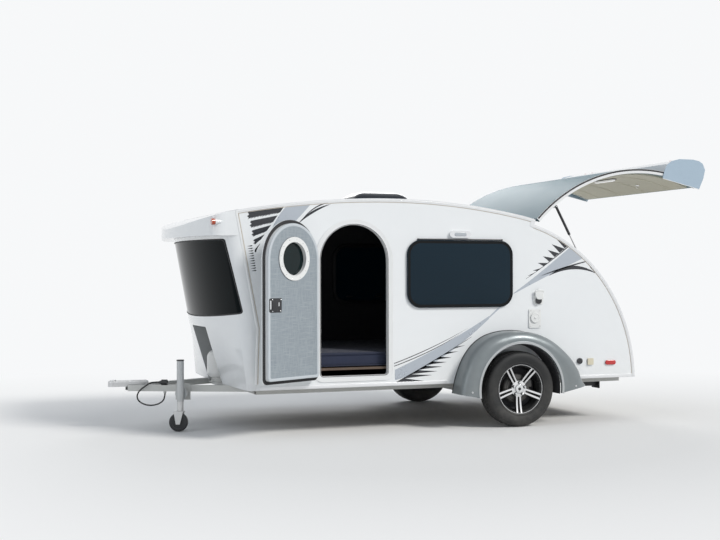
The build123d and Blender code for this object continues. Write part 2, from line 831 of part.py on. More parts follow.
def window_pane():
    """Right window pane in its frame."""
    return slab(window_shape(-15), half - 4, half + 2)


# Hatch, drawn closed and then opened about its hinge

hinge_point = tail_point(hatch_angle, -7.0)


def open_hatch(shape):
    """A hatch piece turned from closed to open."""
    x, z = hinge_point
    return Pos(x, 0, z) * Rot(0, -hatch_open, 0) * Pos(-x, 0, -z) * shape


def hatch_face(depth_out, depth_in, low, start=0.45):
    """Side-view band of the hatch between two depths."""
    first = hatch_angle + start
    lines = [
        profile_arc(tail_centre, tail_radius - depth_out, first, tail_turn),
        Line(tail_point(tail_turn, depth_out), tail_foot(depth_out, low)),
        Line(tail_foot(depth_out, low), tail_foot(depth_in, low)),
        Line(tail_foot(depth_in, low), tail_point(tail_turn, depth_in)),
        profile_arc(tail_centre, tail_radius - depth_in, tail_turn, first),
        Line(tail_point(first, depth_in), tail_point(first, depth_out)),
    ]
    return make_face(Wire(lines))


hatch_low = 40.0


def hatch_panel_shape():
    """Curved hatch panel over the wall edges, with a stiffening rim at both sides."""
    panel = slab(hatch_face(0, hatch_panel, hatch_low), -half, half)
    rim_face = hatch_face(hatch_panel, hatch_rim, hatch_low)
    panel += slab(rim_face, half - 34, half) + slab(rim_face, -half, -half + 34)
    panel = open_hatch(panel)
    pin = strut_hatch_pin()
    return panel + pin + mirror(pin, Plane.XZ)


def hatch_liner():
    """Inner lining of the hatch between the walls."""
    face = hatch_face(hatch_panel, hatch_panel + 14, hatch_low + 30, start=2.2)
    return open_hatch(slab(face, -inner_half + 60, inner_half - 60))


def tail_face():
    """Side view of the bustle, closed: top step, bulged outer face and its foot."""
    a = (4415.0, 402.0)
    f = (4538.0, 259.0)
    e = (4590.0, 100.0)
    d = (4560.0, 24.0)
    c = (tail_foot(-1, 12)[0], 12.0)
    foot = tail_point(tail_turn, -1)
    top_in = (tail_centre[0] + ((tail_radius + 1)**2 - (380 - tail_centre[1])**2) ** 0.5, 380.0)
    turn = degrees(atan2(top_in[0] - tail_centre[0], top_in[1] - tail_centre[1]))
    lines = [
        Line(top_in, a),
        ThreePointArc(a, f, e),
        Line(e, d),
        Line(d, c),
        Line(c, foot),
        profile_arc(tail_centre, tail_radius + 1, tail_turn, turn),
    ]
    return make_face(Wire(lines))


def tail_moulding():
    """Moulded bustle at the hatch's foot, hollow behind its outer face."""
    face = tail_face()
    body = slab(face, -half, half)
    hollow = slab(offset(face, -12), -half + 12, half - 12)
    return open_hatch(body - hollow)


def tail_lamps():
    """Round lamps on the bustle's outer face."""
    lean = (0.952, 0.311)
    lamps = []
    for side in (-1, 1):
        for y in (790.0, 660.0):
            start = (4566 - 40 * lean[0], side * y, 180 - 40 * lean[1])
            end = (4566 + 14 * lean[0], side * y, 180 + 14 * lean[1])
            lamps.append(rod(start, end, 50))
    body = slab(tail_face(), -half, half)
    return open_hatch(group(*[lamp - body for lamp in lamps]))


def hatch_hinge():
    """Long hinge barrel on the roof side of the hatch."""
    x, z = hinge_point
    bar = rod((x, -half + 40, z), (x, half - 40, z), 5)
    leaf = box(x - 42, x, -half + 40, half - 40, z - 6.4, z - 3.4)
    return bar + Pos(x, 0, z) * Rot(0, hatch_angle, 0) * Pos(-x, 0, -z) * leaf


# Gas struts: the tube hangs from the hatch, the rod reaches a ball on the wall

strut_top = (3610.0, 1474.0)
strut_foot = (3856.0, 1022.0)
strut_y = inner_half - 20.0
strut_tube_r = 11.0
strut_rod_r = 5.0
strut_tube_length = 275.0


def strut_along(distance):
    """Point on the strut's line at a distance from its hatch end."""
    dx = strut_foot[0] - strut_top[0]
    dz = strut_foot[1] - strut_top[1]
    run = hypot(dx, dz)
    return (strut_top[0] + dx / run * distance, strut_y, strut_top[1] + dz / run * distance)


def strut_tube():
    """Right strut cylinder with its eye on the hatch's pin."""
    eye = rod((strut_top[0], strut_y - 8, strut_top[1]), (strut_top[0], strut_y + 8, strut_top[1]), 10)
    body = rod(strut_along(6), strut_along(strut_tube_length), strut_tube_r)
    bore = rod(strut_along(40), strut_along(strut_tube_length + 1), strut_rod_r + 0.3)
    pin = rod((strut_top[0], strut_y - 9, strut_top[1]), (strut_top[0], strut_y + 9, strut_top[1]), 5.3)
    return body + eye - bore - pin


def strut_rod():
    """Right strut rod with its eye near the wall's pin."""
    length = hypot(strut_foot[0] - strut_top[0], strut_foot[1] - strut_top[1])
    shaft = rod(strut_along(strut_tube_length - 30), strut_along(length - 8), strut_rod_r)
    x, z = strut_foot
    eye = rod((x, strut_y - 6, z), (x, strut_y + 6, z), 10)
    hole = rod((x, strut_y - 9, z), (x, strut_y + 9, z), 5.8)
    return shaft + eye - hole


def strut_wall_pin():
    """Right wall plate and pin for the strut's rod."""
    x, z = strut_foot
    pad = box(x - 16, x + 16, inner_half - 4, inner_half + 1, z - 16, z + 16)
    return pad + rod((x, strut_y - 8, z), (x, inner_half - 3, z), 5)


def strut_hatch_pin():
    """Right bracket and pin that carry the strut's cylinder on the hatch."""
    x, z = strut_top
    pin = rod((x, strut_y - 16, z), (x, strut_y + 9, z), 5)
    ear = box(x - 12, x + 12, strut_y - 20, strut_y - 15, z - 12, z + 30)
    return pin + ear


# Roof vent

def vent_base():
    """Square flange and duct of the roof vent."""
    z = roof_height(vent_centre)
    d = vent_duct / 2 - 1
    flange = box(vent_centre - vent_length / 2 + 20, vent_centre + vent_length / 2 - 20,
                 -vent_width / 2 + 10, vent_width / 2 - 10, z - 18, z + 16)
    flange -= slab(wall_outline(), -half, half)
    duct = box(vent_centre - d, vent_centre + d, -d, d, z - wall - 6, z + 5)
    inner = box(vent_centre - d + 8, vent_centre + d - 8, -d + 8, d - 8, z - wall - 10, z + 20)
    x, y, pin_z = vent_pin
    base = flange + duct - inner
    for side in (-1, 1):
        ya, yb = sorted((side * (y + 4), side * (y + 12)))
        base += box(x - 34, x + 6, ya, yb, z - 2, z + 16)
        base += box(x - 4.5, x + 6, ya, yb, z + 8, pin_z + 5)
    return base + rod((x, -y - 5, pin_z), (x, y + 5, pin_z), 3)


vent_pin = (vent_centre + vent_length / 2 + 6, 110.0, roof_height(vent_centre) + 27)


def vent_lid():
    """Smoked dome of the roof vent."""
    z = roof_height(vent_centre) + 22
    base = Pos(vent_centre, 0) * RectangleRounded(vent_length, vent_width, 60)
    dome = Pos(0, 0, z) * extrude(base, vent_height - 22, taper=24)
    dome = fillet(dome.faces().sort_by(Axis.Z)[-1].edges(), 30)
    inner_base = Pos(vent_centre, 0) * RectangleRounded(vent_length - 10, vent_width - 10, 55)
    hollow = Pos(0, 0, z - 1) * extrude(inner_base, vent_height - 26, taper=24)
    lid = dome - hollow
    x, y, pin_z = vent_pin
    for side in (-1, 1):
        ya, yb = sorted((side * (y - 40), side * (y - 4)))
        lid += box(x - 16, x, ya, yb, pin_z - 5, pin_z + 5) - hollow
        lid += rod((x, ya, pin_z), (x, yb, pin_z), 6)
    return lid - rod((x, -y, pin_z), (x, y, pin_z), 3.2)


# Cabin and galley

def bulkhead():
    """Panel between the cabin and the galley."""
    top = roof_height(bulkhead_x + 18, wall) - 1
    return box(bulkhead_x, bulkhead_x + 18, -inner_half + 1, inner_half - 1, floor_thick, top)


def bed_base():
    """Low platform under the mattress."""
    z = mattress_top - mattress_thick
    x0 = alcove_back + alcove_wall + 20
    deck = box(x0, bulkhead_x - 1, -inner_half + 6, inner_half - 6, z - 18, z)
    legs = []
    for x in (x0, (x0 + bulkhead_x) / 2, bulkhead_x - 20):
        legs.append(box(x, x + 18, -inner_half + 40, inner_half - 40, floor_thick, z - 18))
    for leg in legs:
        deck += leg
    return deck


def mattress():
    """Plain mattress block."""
    x0 = alcove_back + alcove_wall + 24
    z = mattress_top - mattress_thick + 0.5
    block = box(x0, bulkhead_x - 10, -inner_half + 12, inner_half - 12, z, mattress_top)
    return fillet(block.edges(), 30)


def galley_base():
    """Galley cabinet under the worktop with open bays."""
    x0 = bulkhead_x + 18.5
    x1 = counter_back - 60
    y = inner_half - 34
    cab = box(x0, x1, -y, y, floor_thick, counter_z - 22)
    bay = (2 * y - 5 * 18) / 3
    for i in range(3):
        y0 = -y + 18 + i * (bay + 18)
        cab -= box(x0 + 250, x1 + 1, y0, y0 + bay, floor_thick + 18, counter_z - 22 - 60)
    return cab


def galley_top():
    """Worktop of the galley."""
    return box(bulkhead_x + 18.5, counter_back, -inner_half + 30, inner_half - 30, counter_z - 22, counter_z)


def galley_shelf():
    """Upper galley cupboard with open cubbies under the roof."""
    x0 = bulkhead_x + 18.5
    x1 = x0 + 230
    y = inner_half - 60
    cab = box(x0, x1, -y, y, shelf_z, shelf_z + 290)
    cubby = (2 * y - 5 * 15) / 4
    for i in range(4):
        y0 = -y + 15 + i * (cubby + 15)
        cab -= box(x0 + 12, x1 + 1, y0, y0 + cubby, shelf_z + 15, shelf_z + 275)
    return cab


# Gas bottle, fittings and lamps

bottle_x = 925.0
bottle_r = 142.0
bottle_height = 290.0


def gas_bottle():
    """Gas bottle with domed ends, foot ring and valve collar."""
    low = 12.0
    profile = [
        Line((0, low + 20), (bottle_r - 50, low + 20)),
        TangentArc((bottle_r - 50, low + 20), (bottle_r, low + 70), tangent=(1, 0)),
        Line((bottle_r, low + 70), (bottle_r, bottle_height - 90)),
        TangentArc((bottle_r, bottle_height - 90), (bottle_r - 80, bottle_height - 22), tangent=(0, 1)),
        Line((bottle_r - 80, bottle_height - 22), (0, bottle_height - 14)),
        Line((0, bottle_height - 14), (0, low + 20)),
    ]
    body = revolve(Plane.XZ * make_face(Wire(profile)), Axis.Z)
    foot = Pos(0, 0, low) * extrude(Circle(100) - Circle(96), 32)
    collar = Pos(0, 0, bottle_height - 40) * extrude(Circle(82) - Circle(79), 70)
    collar -= box(-100, 0, -45, 45, bottle_height - 18, bottle_height + 60)
    valve = Pos(0, 0, bottle_height - 20) * extrude(Circle(14), 34)
    wheel = Pos(0, 0, bottle_height + 14) * extrude(Circle(24), 12)
    return Pos(bottle_x, 0, 0) * (body + foot + collar + valve + wheel)


def bottle_tray():
    """Shallow tray that holds the gas bottle on the tongue."""
    base = Pos(bottle_x, 0, 0) * extrude(Circle(130), 4)
    rim_ring = Pos(bottle_x, 0, 4) * extrude(Circle(106) - Circle(101), 22)
    return base + rim_ring


def side_fittings():
    """Power inlet, service cover, filler cap and block on the left wall."""
    y = -half
    cover = slab(Pos(3372, 522) * RectangleRounded(114, 160, 14), y - 8, y)
    inlet = slab(Pos(3406, 695) * RectangleRounded(92, 104, 16), y - 10, y)
    lid = Pos(3406, y - 18, 722) * Rot(16, 0, 0) * Box(76, 9, 76)
    cap = rod((3806, y, 152), (3806, y - 12, 152), 25)
    block = slab(Pos(3910, 145) * RectangleRounded(55, 55, 6), y - 14, y)
    body = box(3200, 4200, -half, -half + 60, 0, 1000)
    return group(cover, inlet + (lid - body), cap, block)


def porch_lamps():
    """Oval lamps above the side windows."""
    face = Pos(2676, 1223) * SlotOverall(190, 58)
    return both(slab(face, half, half + 22))


def red_markers():
    """Oval red lamps low on the walls near the tail."""
    face = Pos(4139, 132) * SlotOverall(160, 50)
    return both(slab(face, half, half + 14))


def cap_lamps():
    """Amber lamps in long blisters on the brow's two sides."""
    lamp = Pos(600, half - 14, 1300) * Rot(0, 90, 0) * extrude(Circle(26), 90, taper=9)
    lamp -= cap_body(0) + brow_body(0)
    return both(lamp.solids().sort_by(SortBy.VOLUME)[-1])


# Stabilisers

stab_x = cross_x[4]
stab_y = 600.0
stab_z = -tube - 27.0
stab_length = 275.0


def stabiliser_mounts():
    """Plates under the frame that carry the folding legs."""
    parts = []
    for side in (-1, 1):
        for dy in (-34, 28):
            parts.append(box(stab_x - 30, stab_x + 28, side * stab_y + dy, side * stab_y + dy + 6,
                             stab_z - 24, -tube))
        parts.append(rod((stab_x, side * stab_y - 34, stab_z), (stab_x, side * stab_y + 34, stab_z), 7))
    return parts


def stabiliser(side):
    """Folding corner leg with its foot plate, stowed level under the frame."""
    z = stab_z
    y = side * stab_y
    leg = box(stab_x, stab_x + stab_length, y - 20, y + 20, z - 20, z + 20)
    leg += rod((stab_x, y - 20, z), (stab_x, y + 20, z), 20)
    leg -= rod((stab_x, y - 21, z), (stab_x, y + 21, z), 7.3)
    foot = box(stab_x + stab_length, stab_x + stab_length + 8, y - 60, y + 60, z - 40, z + 21)
    return leg + foot


# Trailer cable: out of a gland under the left tongue rail, down in a loop and up onto the rail

cable_r = 6.0
cable_points = (
    (392.0, -160.0, -68.0),
    (390.0, -162.0, -116.0),
    (348.0, -156.0, -152.0),
    (288.0, -142.0, -166.0),
    (226.0, -124.0, -156.0),
    (180.0, -110.0, -122.0),
    (172.0, -114.0, -76.0),
    (198.0, -128.0, -34.0),
    (238.0, -142.0, -4.0),
    (278.0, -136.0, 20.0),
    (318.8, -125.3, 22.3),
    (346.0, -138.0, 22.3),
)
plug_r = 22.0
plug_length = 70.0


def cable_corners():
    """Bend radius at each inner point of the cable's route."""
    radii = []
    for a, b, c in zip(cable_points, cable_points[1:], cable_points[2:]):
        run_in = Vector(*b) - Vector(*a)
        run_out = Vector(*c) - Vector(*b)
        turn = run_in.get_angle(run_out)
        radii.append(0.45 * min(run_in.length, run_out.length) / tan(radians(turn) / 2))
    return radii


def tongue_cable():
    """The cable's tube from the gland to the plug."""
    path = FilletPolyline(*cable_points, radius=cable_corners())
    first = Vector(*cable_points[1]) - Vector(*cable_points[0])
    return sweep(Plane(origin=cable_points[0], z_dir=first) * Circle(cable_r), path=path)


def cable_plug():
    """Round plug that lies on the left tongue rail, with its strain relief."""
    end = Vector(*cable_points[-1])
    run = (end - Vector(*cable_points[-2])).normalized()
    place = Plane(origin=end, z_dir=run)
    body = revolve(Plane.XZ * line_points([(0, 0), (cable_r + 2, 0), (plug_r - 7, 20), (plug_r, 24),
                                           (plug_r, plug_length), (0, plug_length)]), Axis.Z)
    return place * body


def cable_gland():
    """Threaded gland under the left rail."""
    x, y, z = cable_points[0]
    return rod((x, y, -tube + 3), (x, y, z), 11)


def write(name, shape):
    """Writes one sub-part."""
    solids = shape.solids()
    shape = solids[0] if len(solids) == 1 else Compound(solids)
    export_step(shape, f"parts/{name}.step")


def main():
    """Builds every sub-part and writes it."""
    os.makedirs("parts", exist_ok=True)
    right_wall = side_wall()
    write("right_wall", right_wall)
    write("left_wall", mirror(right_wall, Plane.XZ))
    write("roof_panel", roof_panel())
    write("edge_trims", both(edge_trim()))
    write("front_cap", front_cap())
    write("front_window", front_window())
    write("floor_panel", floor_panel())
    write("tongue_rails", tongue_rails())
    write("side_rails", side_rails())
    write("cross_members", cross_members())
    write("coupler", coupler())
    write("jack_bracket", jack_bracket())
    write("jack_tube", jack_tube())
    write("jack_leg", jack_leg())
    write("jack_fork", jack_fork())
    write("jack_wheel", jack_wheel())
    write("axle_beam", axle_beam())
    write("fenders", both(fender()))
    for name, shape in (("tyre", tyre()), ("rim", rim()), ("hub", hub())):
        write(f"right_{name}", shape)
        write(f"left_{name}", mirror(shape, Plane.XZ))
    write("door_frames", both(door_frame()))
    for name, shape in (("door", door_leaf()), ("door_glass", door_pane()),
                        ("door_fittings", door_fittings())):
        write(f"right_{name}", shape)
        write(f"left_{name}", swing_door(shape))
    write("window_frames", both(window_frame()))
    write("window_glass", both(window_pane()))
    write("hatch_panel", hatch_panel_shape())
    write("hatch_liner", hatch_liner())
    write("tail_moulding", tail_moulding())
    write("tail_lamps", tail_lamps())
    write("hatch_hinge", hatch_hinge())
    for name, shape in (("strut_tube", strut_tube()), ("strut_rod", strut_rod())):
        write(f"right_{name}", shape)
        write(f"left_{name}", mirror(shape, Plane.XZ))
    write("vent_base", vent_base())
    write("vent_lid", vent_lid())
    write("galley_bulkhead", bulkhead())
    write("bed_base", bed_base())
    write("mattress", mattress())
    write("galley_cabinets", group(galley_base(), galley_shelf()))
    write("galley_top", galley_top())
    write("gas_bottle", gas_bottle())
    write("bottle_tray", bottle_tray())
    write("side_fittings", side_fittings())
    write("porch_lamps", porch_lamps())
    write("red_markers", red_markers())
    write("cap_lamps", cap_lamps())
    write("stabiliser_mounts", group(*stabiliser_mounts()))
    write("right_stabiliser", stabiliser(1))
    write("left_stabiliser", stabiliser(-1))
    write("tongue_cable", tongue_cable())
    write("cable_plug", cable_plug())
    print("cable bend radii", [round(r) for r in cable_corners()])
    print("cable length", round(sum((Vector(*b) - Vector(*a)).length for a, b in
                                    zip(cable_points, cable_points[1:]))))


main()
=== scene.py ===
import json
import logging
import math
from dataclasses import dataclass
from enum import Enum
from typing import Callable, Optional, Sequence, Union

import bpy
import numpy as np
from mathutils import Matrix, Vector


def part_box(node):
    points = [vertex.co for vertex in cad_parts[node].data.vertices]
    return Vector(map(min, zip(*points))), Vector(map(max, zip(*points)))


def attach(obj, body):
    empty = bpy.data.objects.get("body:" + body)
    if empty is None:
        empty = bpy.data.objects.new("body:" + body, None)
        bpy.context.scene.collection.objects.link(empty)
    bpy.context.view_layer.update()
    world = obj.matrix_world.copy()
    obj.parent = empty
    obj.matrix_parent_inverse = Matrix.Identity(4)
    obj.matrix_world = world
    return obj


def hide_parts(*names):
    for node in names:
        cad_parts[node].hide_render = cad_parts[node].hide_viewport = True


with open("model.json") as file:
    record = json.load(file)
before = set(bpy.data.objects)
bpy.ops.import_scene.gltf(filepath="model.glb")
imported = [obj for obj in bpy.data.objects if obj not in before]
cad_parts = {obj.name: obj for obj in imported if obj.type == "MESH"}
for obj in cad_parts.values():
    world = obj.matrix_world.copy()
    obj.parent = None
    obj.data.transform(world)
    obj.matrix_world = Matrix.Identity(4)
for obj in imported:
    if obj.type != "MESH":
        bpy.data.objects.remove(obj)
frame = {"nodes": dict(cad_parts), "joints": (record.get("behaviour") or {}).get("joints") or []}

LOG = logging.getLogger("trailer")
Array = np.ndarray
Point = tuple[float, float, float]
Colour = tuple[float, float, float]
Output = bpy.types.NodeSocket
Feed = Union[Output, float, Colour]
Chooser = Callable[[Array, Array], Array]
NODES: dict = frame["nodes"]
JOINTS: dict = {joint["name"]: joint for joint in frame["joints"]}
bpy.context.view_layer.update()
BODY = "trailer_body"
GROUND = -0.36
ROAD_DUST: Colour = (0.47, 0.44, 0.39)


class Side(Enum):
    """A side of the trailer, as seen from behind it."""

    LEFT = -1
    RIGHT = 1

    @property
    def word(self) -> str:
        """The side's name as it stands in node names."""
        return self.name.lower()


class Texture(Enum):
    """Fine relief of a finish."""

    SMOOTH = "smooth"
    PEEL = "peel"
    BRUSHED = "brushed"
    LINEN = "linen"
    WEAVE = "weave"
    CAST = "cast"
    GRAIN = "grain"
    MOULDED = "moulded"


# Shapes


@dataclass
class Skin:
    """Points and faces of closed surfaces, in metres in the trailer's frame."""

    points: Array
    faces: list

    def moved(self, place: Array) -> "Skin":
        """The skin after a change of place.

        Args:
            place: a 4 by 4 matrix.

        Returns:
            The moved skin.
        """
        points = self.points @ place[:3, :3].T + place[:3, 3]
        flip = np.linalg.det(place[:3, :3]) < 0
        return Skin(points, [face[::-1] for face in self.faces] if flip else self.faces)

    def at(self, x: float, y: float, z: float) -> "Skin":
        """The skin shifted by x, y and z."""
        return Skin(self.points + np.array([x, y, z]), self.faces)

    def mirrored(self) -> "Skin":
        """The skin on the trailer's other side."""
        return self.moved(np.diag([1.0, -1.0, 1.0, 1.0]))

    def __add__(self, other: "Skin") -> "Skin":
        """Both skins as one."""
        shift = len(self.points)
        moved = [tuple(i + shift for i in face) for face in other.faces]
        return Skin(np.vstack([self.points, other.points]), list(self.faces) + moved)


def joined(skins: Sequence[Skin]) -> Skin:
    """Several skins as one.

    Args:
        skins: the skins to join.

    Returns:
        One skin that holds them all.
    """
    starts = np.cumsum([0] + [len(skin.points) for skin in skins])
    faces = [tuple(i + int(start) for i in face) for skin, start in zip(skins, starts) for face in skin.faces]
    return Skin(np.vstack([skin.points for skin in skins]), faces)


def both_sides(skin: Skin) -> Skin:
    """A skin and its mirror image on the trailer's other side, as one."""
    return joined([skin, skin.mirrored()])


def on_side(skin: Skin, side: Side) -> Skin:
    """A skin that is drawn on the right side, on the side asked for."""
    return skin if side is Side.RIGHT else skin.mirrored()


def lofted(rings: Array, loop: bool = False) -> Skin:
    """Skin over rings: face (i, j) joins points j and j + 1 of ring i to the same two of ring i + 1.

    Args:
        rings: stations by points by 3, every ring closed and in the same order.
        loop: the last ring joins the first; otherwise a flat face closes each end.

    Returns:
        A closed skin whose faces point outwards.
    """
    stations, count = rings.shape[:2]
    i = np.arange(stations if loop else stations - 1)[:, None]
    j = np.arange(count)[None, :]
    this, after = i * count, (i + 1) % stations * count
    step = (j + 1) % count
    quads = np.stack([this + j, this + step, after + step, after + j], axis=-1).reshape(-1, 4)
    faces = [tuple(quad) for quad in quads.tolist()]
    if not loop:
        faces.append(tuple(range(count - 1, -1, -1)))
        faces.append(tuple(range((stations - 1) * count, stations * count)))
    points = rings.reshape(-1, 3)
    a, b, c, d = (points[quads[:, k]] for k in range(4))
    # Six times the volume inside, which is below 0 where the faces point inwards
    volume = np.einsum("ij,ij->", a, np.cross(b, c)) + np.einsum("ij,ij->", a, np.cross(c, d))
    if not loop:
        for face in faces[-2:]:
            fan = points[list(face)]
            first = np.broadcast_to(fan[0], fan[1:-1].shape)
            volume += np.einsum("ij,ij->", first, np.cross(fan[1:-1], fan[2:]))
    return Skin(points, [face[::-1] for face in faces] if volume < 0 else faces)


def turned(profile: Sequence[tuple[float, float]], count: int = 32) -> Skin:
    """Lathe shape: each (radius, height) of the profile is a circle about z, and flat faces close the ends.

    Args:
        profile: radii above 0 with their heights, from one end to the other.
        count: points round a circle; 6 gives a hexagon.

    Returns:
        The closed skin about the z axis.
    """
    radius, height = np.array(profile, float).T
    angle = np.arange(count) * 2 * math.pi / count
    rings = np.stack([
        radius[:, None] * np.cos(angle),
        radius[:, None] * np.sin(angle),
        np.broadcast_to(height[:, None], (len(radius), count)),
    ], axis=-1)
    return lofted(rings)


def circle(radius: float, count: int = 16) -> Array:
    """Points of a circle in the plane, as count pairs."""
    angle = np.arange(count) * 2 * math.pi / count
    return np.stack([radius * np.cos(angle), radius * np.sin(angle)], axis=-1)


def rounded(width: float, height: float, corner: float, count: int = 8) -> Array:
    """Rounded rectangle: a quarter circle of count points at each corner.

    Args:
        width: size along u.
        height: size along v.
        corner: corner radius.
        count: points in each corner.

    Returns:
        Points, 4 * count by 2, anticlockwise.
    """
    corner = min(corner, width / 2 - 1e-6, height / 2 - 1e-6)
    quarter = np.linspace(0, math.pi / 2, count)
    centres = ((1, 1), (-1, 1), (-1, -1), (1, -1))
    parts = []
    for k, (sx, sy) in enumerate(centres):
        angle = quarter + k * math.pi / 2
        parts.append(np.stack([sx * (width / 2 - corner) + corner * np.cos(angle),
                               sy * (height / 2 - corner) + corner * np.sin(angle)], axis=-1))
    return np.vstack(parts)


def block(width: float, height: float, depth: float, corner: float, edge: float, count: int = 6) -> Skin:
    """Moulded block: a rounded rectangle in u and v carried along w, smaller by edge at both ends.

    Args:
        width: size along x.
        height: size along y.
        depth: size along z, from 0.
        corner: corner radius of the rectangle.
        edge: width of the rounded edge at the ends.
        count: points in each corner.

    Returns:
        The block, centred in x and y and standing on z = 0.
    """
    rings = []
    for turn in np.linspace(0, math.pi / 2, 4):
        inset = edge * (1 - math.sin(turn))
        rings.append((inset, edge * (1 - math.cos(turn))))
    rings += [(inset, depth - low) for inset, low in reversed(rings)]
    shapes = []
    for inset, z in rings:
        outline = rounded(width - 2 * inset, height - 2 * inset, max(corner - inset, 1e-4), count)
        shapes.append(np.column_stack([outline, np.full(len(outline), z)]))
    return lofted(np.array(shapes))


def directions(path: Array, loop: bool) -> Array:
    """Unit directions of a path at its points, each from the point before to the point after."""
    if loop:
        ahead = np.roll(path, -1, axis=0) - np.roll(path, 1, axis=0)
    else:
        ahead = np.gradient(path, axis=0)
    return ahead / np.linalg.norm(ahead, axis=1, keepdims=True)


def swept(path: Array, section: Array, normal: Point, loop: bool = False) -> Skin:
    """Section carried along a flat path: (u, v) lands at the path plus u across and v along the normal.

    Across is the path's direction crossed with the normal, so u is to the path's side.

    Args:
        path: points by 3, in a plane with the given normal.
        section: points by 2, closed.
        normal: the plane's normal.
        loop: the path is closed.

    Returns:
        The closed skin.
    """
    up = np.array(normal, float)
    ahead = directions(path, loop)
    across = np.cross(ahead, up)
    rings = path[:, None] + section[None, :, :1] * across[:, None] + section[None, :, 1:] * up
    return lofted(rings, loop)


def piped(path: Array, radius: float, count: int = 10, loop: bool = False) -> Skin:
    """Round bar along a path in space: circles across the path, kept from twisting.

    The first circle's side is any direction across the path, and each next side is the last one with its
    part along the path taken out.

    Args:
        path: points by 3.
        radius: the bar's radius.
        count: points round the bar.
        loop: the path is closed.

    Returns:
        The closed skin.
    """
    ahead = directions(path, loop)
    any_way = (0.31, 0.52, 0.79)
    side = np.cross(ahead[0], any_way)
    sides = []
    for direction in ahead:
        side = side - direction * (side @ direction)
        side = side / np.linalg.norm(side)
        sides.append(side)
    sides = np.array(sides)
    tops = np.cross(ahead, sides)
    ring = circle(radius, count)
    rings = path[:, None] + ring[None, :, :1] * sides[:, None] + ring[None, :, 1:] * tops[:, None]
    return lofted(rings, loop)


def bow(a: Sequence[float], b: Sequence[float], c: Sequence[float], count: int = 17) -> Array:
    """Quadratic curve that starts at a, passes b half way and ends at c.

    Args:
        a: first point.
        b: middle point.
        c: last point.
        count: number of points.

    Returns:
        Points along the curve.
    """
    t = np.linspace(0, 1, count)[:, None]
    a, b, c = (np.array(p, float) for p in (a, b, c))
    return a * (1 - t) * (1 - 2 * t) + b * 4 * t * (1 - t) + c * t * (2 * t - 1)


def basis(x_axis: Point, y_axis: Point, z_axis: Point, origin: Point) -> Array:
    """A 4 by 4 matrix that carries x, y and z to three given directions from an origin."""
    place = np.eye(4)
    place[:3, :3] = np.array([x_axis, y_axis, z_axis], float).T
    place[:3, 3] = origin
    return place


def upright(way: int, x: float, y: float, z: float) -> Array:
    """Place of a piece with its y up that faces along y, to the right for a way of 1, to the left for -1."""
    return basis((-way, 0, 0), (0, 0, 1), (0, way, 0), (x, y, z))


def out_of_wall(side: Side, x: float, y: float, z: float) -> Array:
    """Place of a piece on a side wall: its x runs along the trailer, its y up and its z out of the wall.

    Args:
        side: which wall.
        x: place along the trailer.
        y: distance of the piece's foot from the middle, above 0.
        z: height.

    Returns:
        A 4 by 4 matrix.
    """
    return upright(side.value, x, side.value * y, z)


def turned_about(axis: Point, angle: float, through: Point) -> Array:
    """A 4 by 4 turn by an angle in radians about an axis through a point.

    Args:
        axis: direction of the axis.
        angle: turn in radians.
        through: a point on the axis.

    Returns:
        The matrix, by the formula of Rodrigues.
    """
    k = np.array(axis, float) / np.linalg.norm(axis)
    cross = np.array([[0, -k[2], k[1]], [k[2], 0, -k[0]], [-k[1], k[0], 0]])
    turn = np.eye(3) + math.sin(angle) * cross + (1 - math.cos(angle)) * cross @ cross
    place = np.eye(4)
    place[:3, :3] = turn
    place[:3, 3] = np.array(through) - turn @ np.array(through)
    return place


def closed_to_rest(joint: str) -> Array:
    """Place at rest of a piece drawn at its joint's other limit.

    Args:
        joint: name of a hinge whose range runs from one limit to 0.

    Returns:
        The turn from that limit back to rest.
    """
    entry = JOINTS[joint]
    low, high = entry["range_deg"]
    other = low if abs(low) > abs(high) else high
    return turned_about(entry["axis"], -math.radians(other), entry["pos_m"])


# Materials


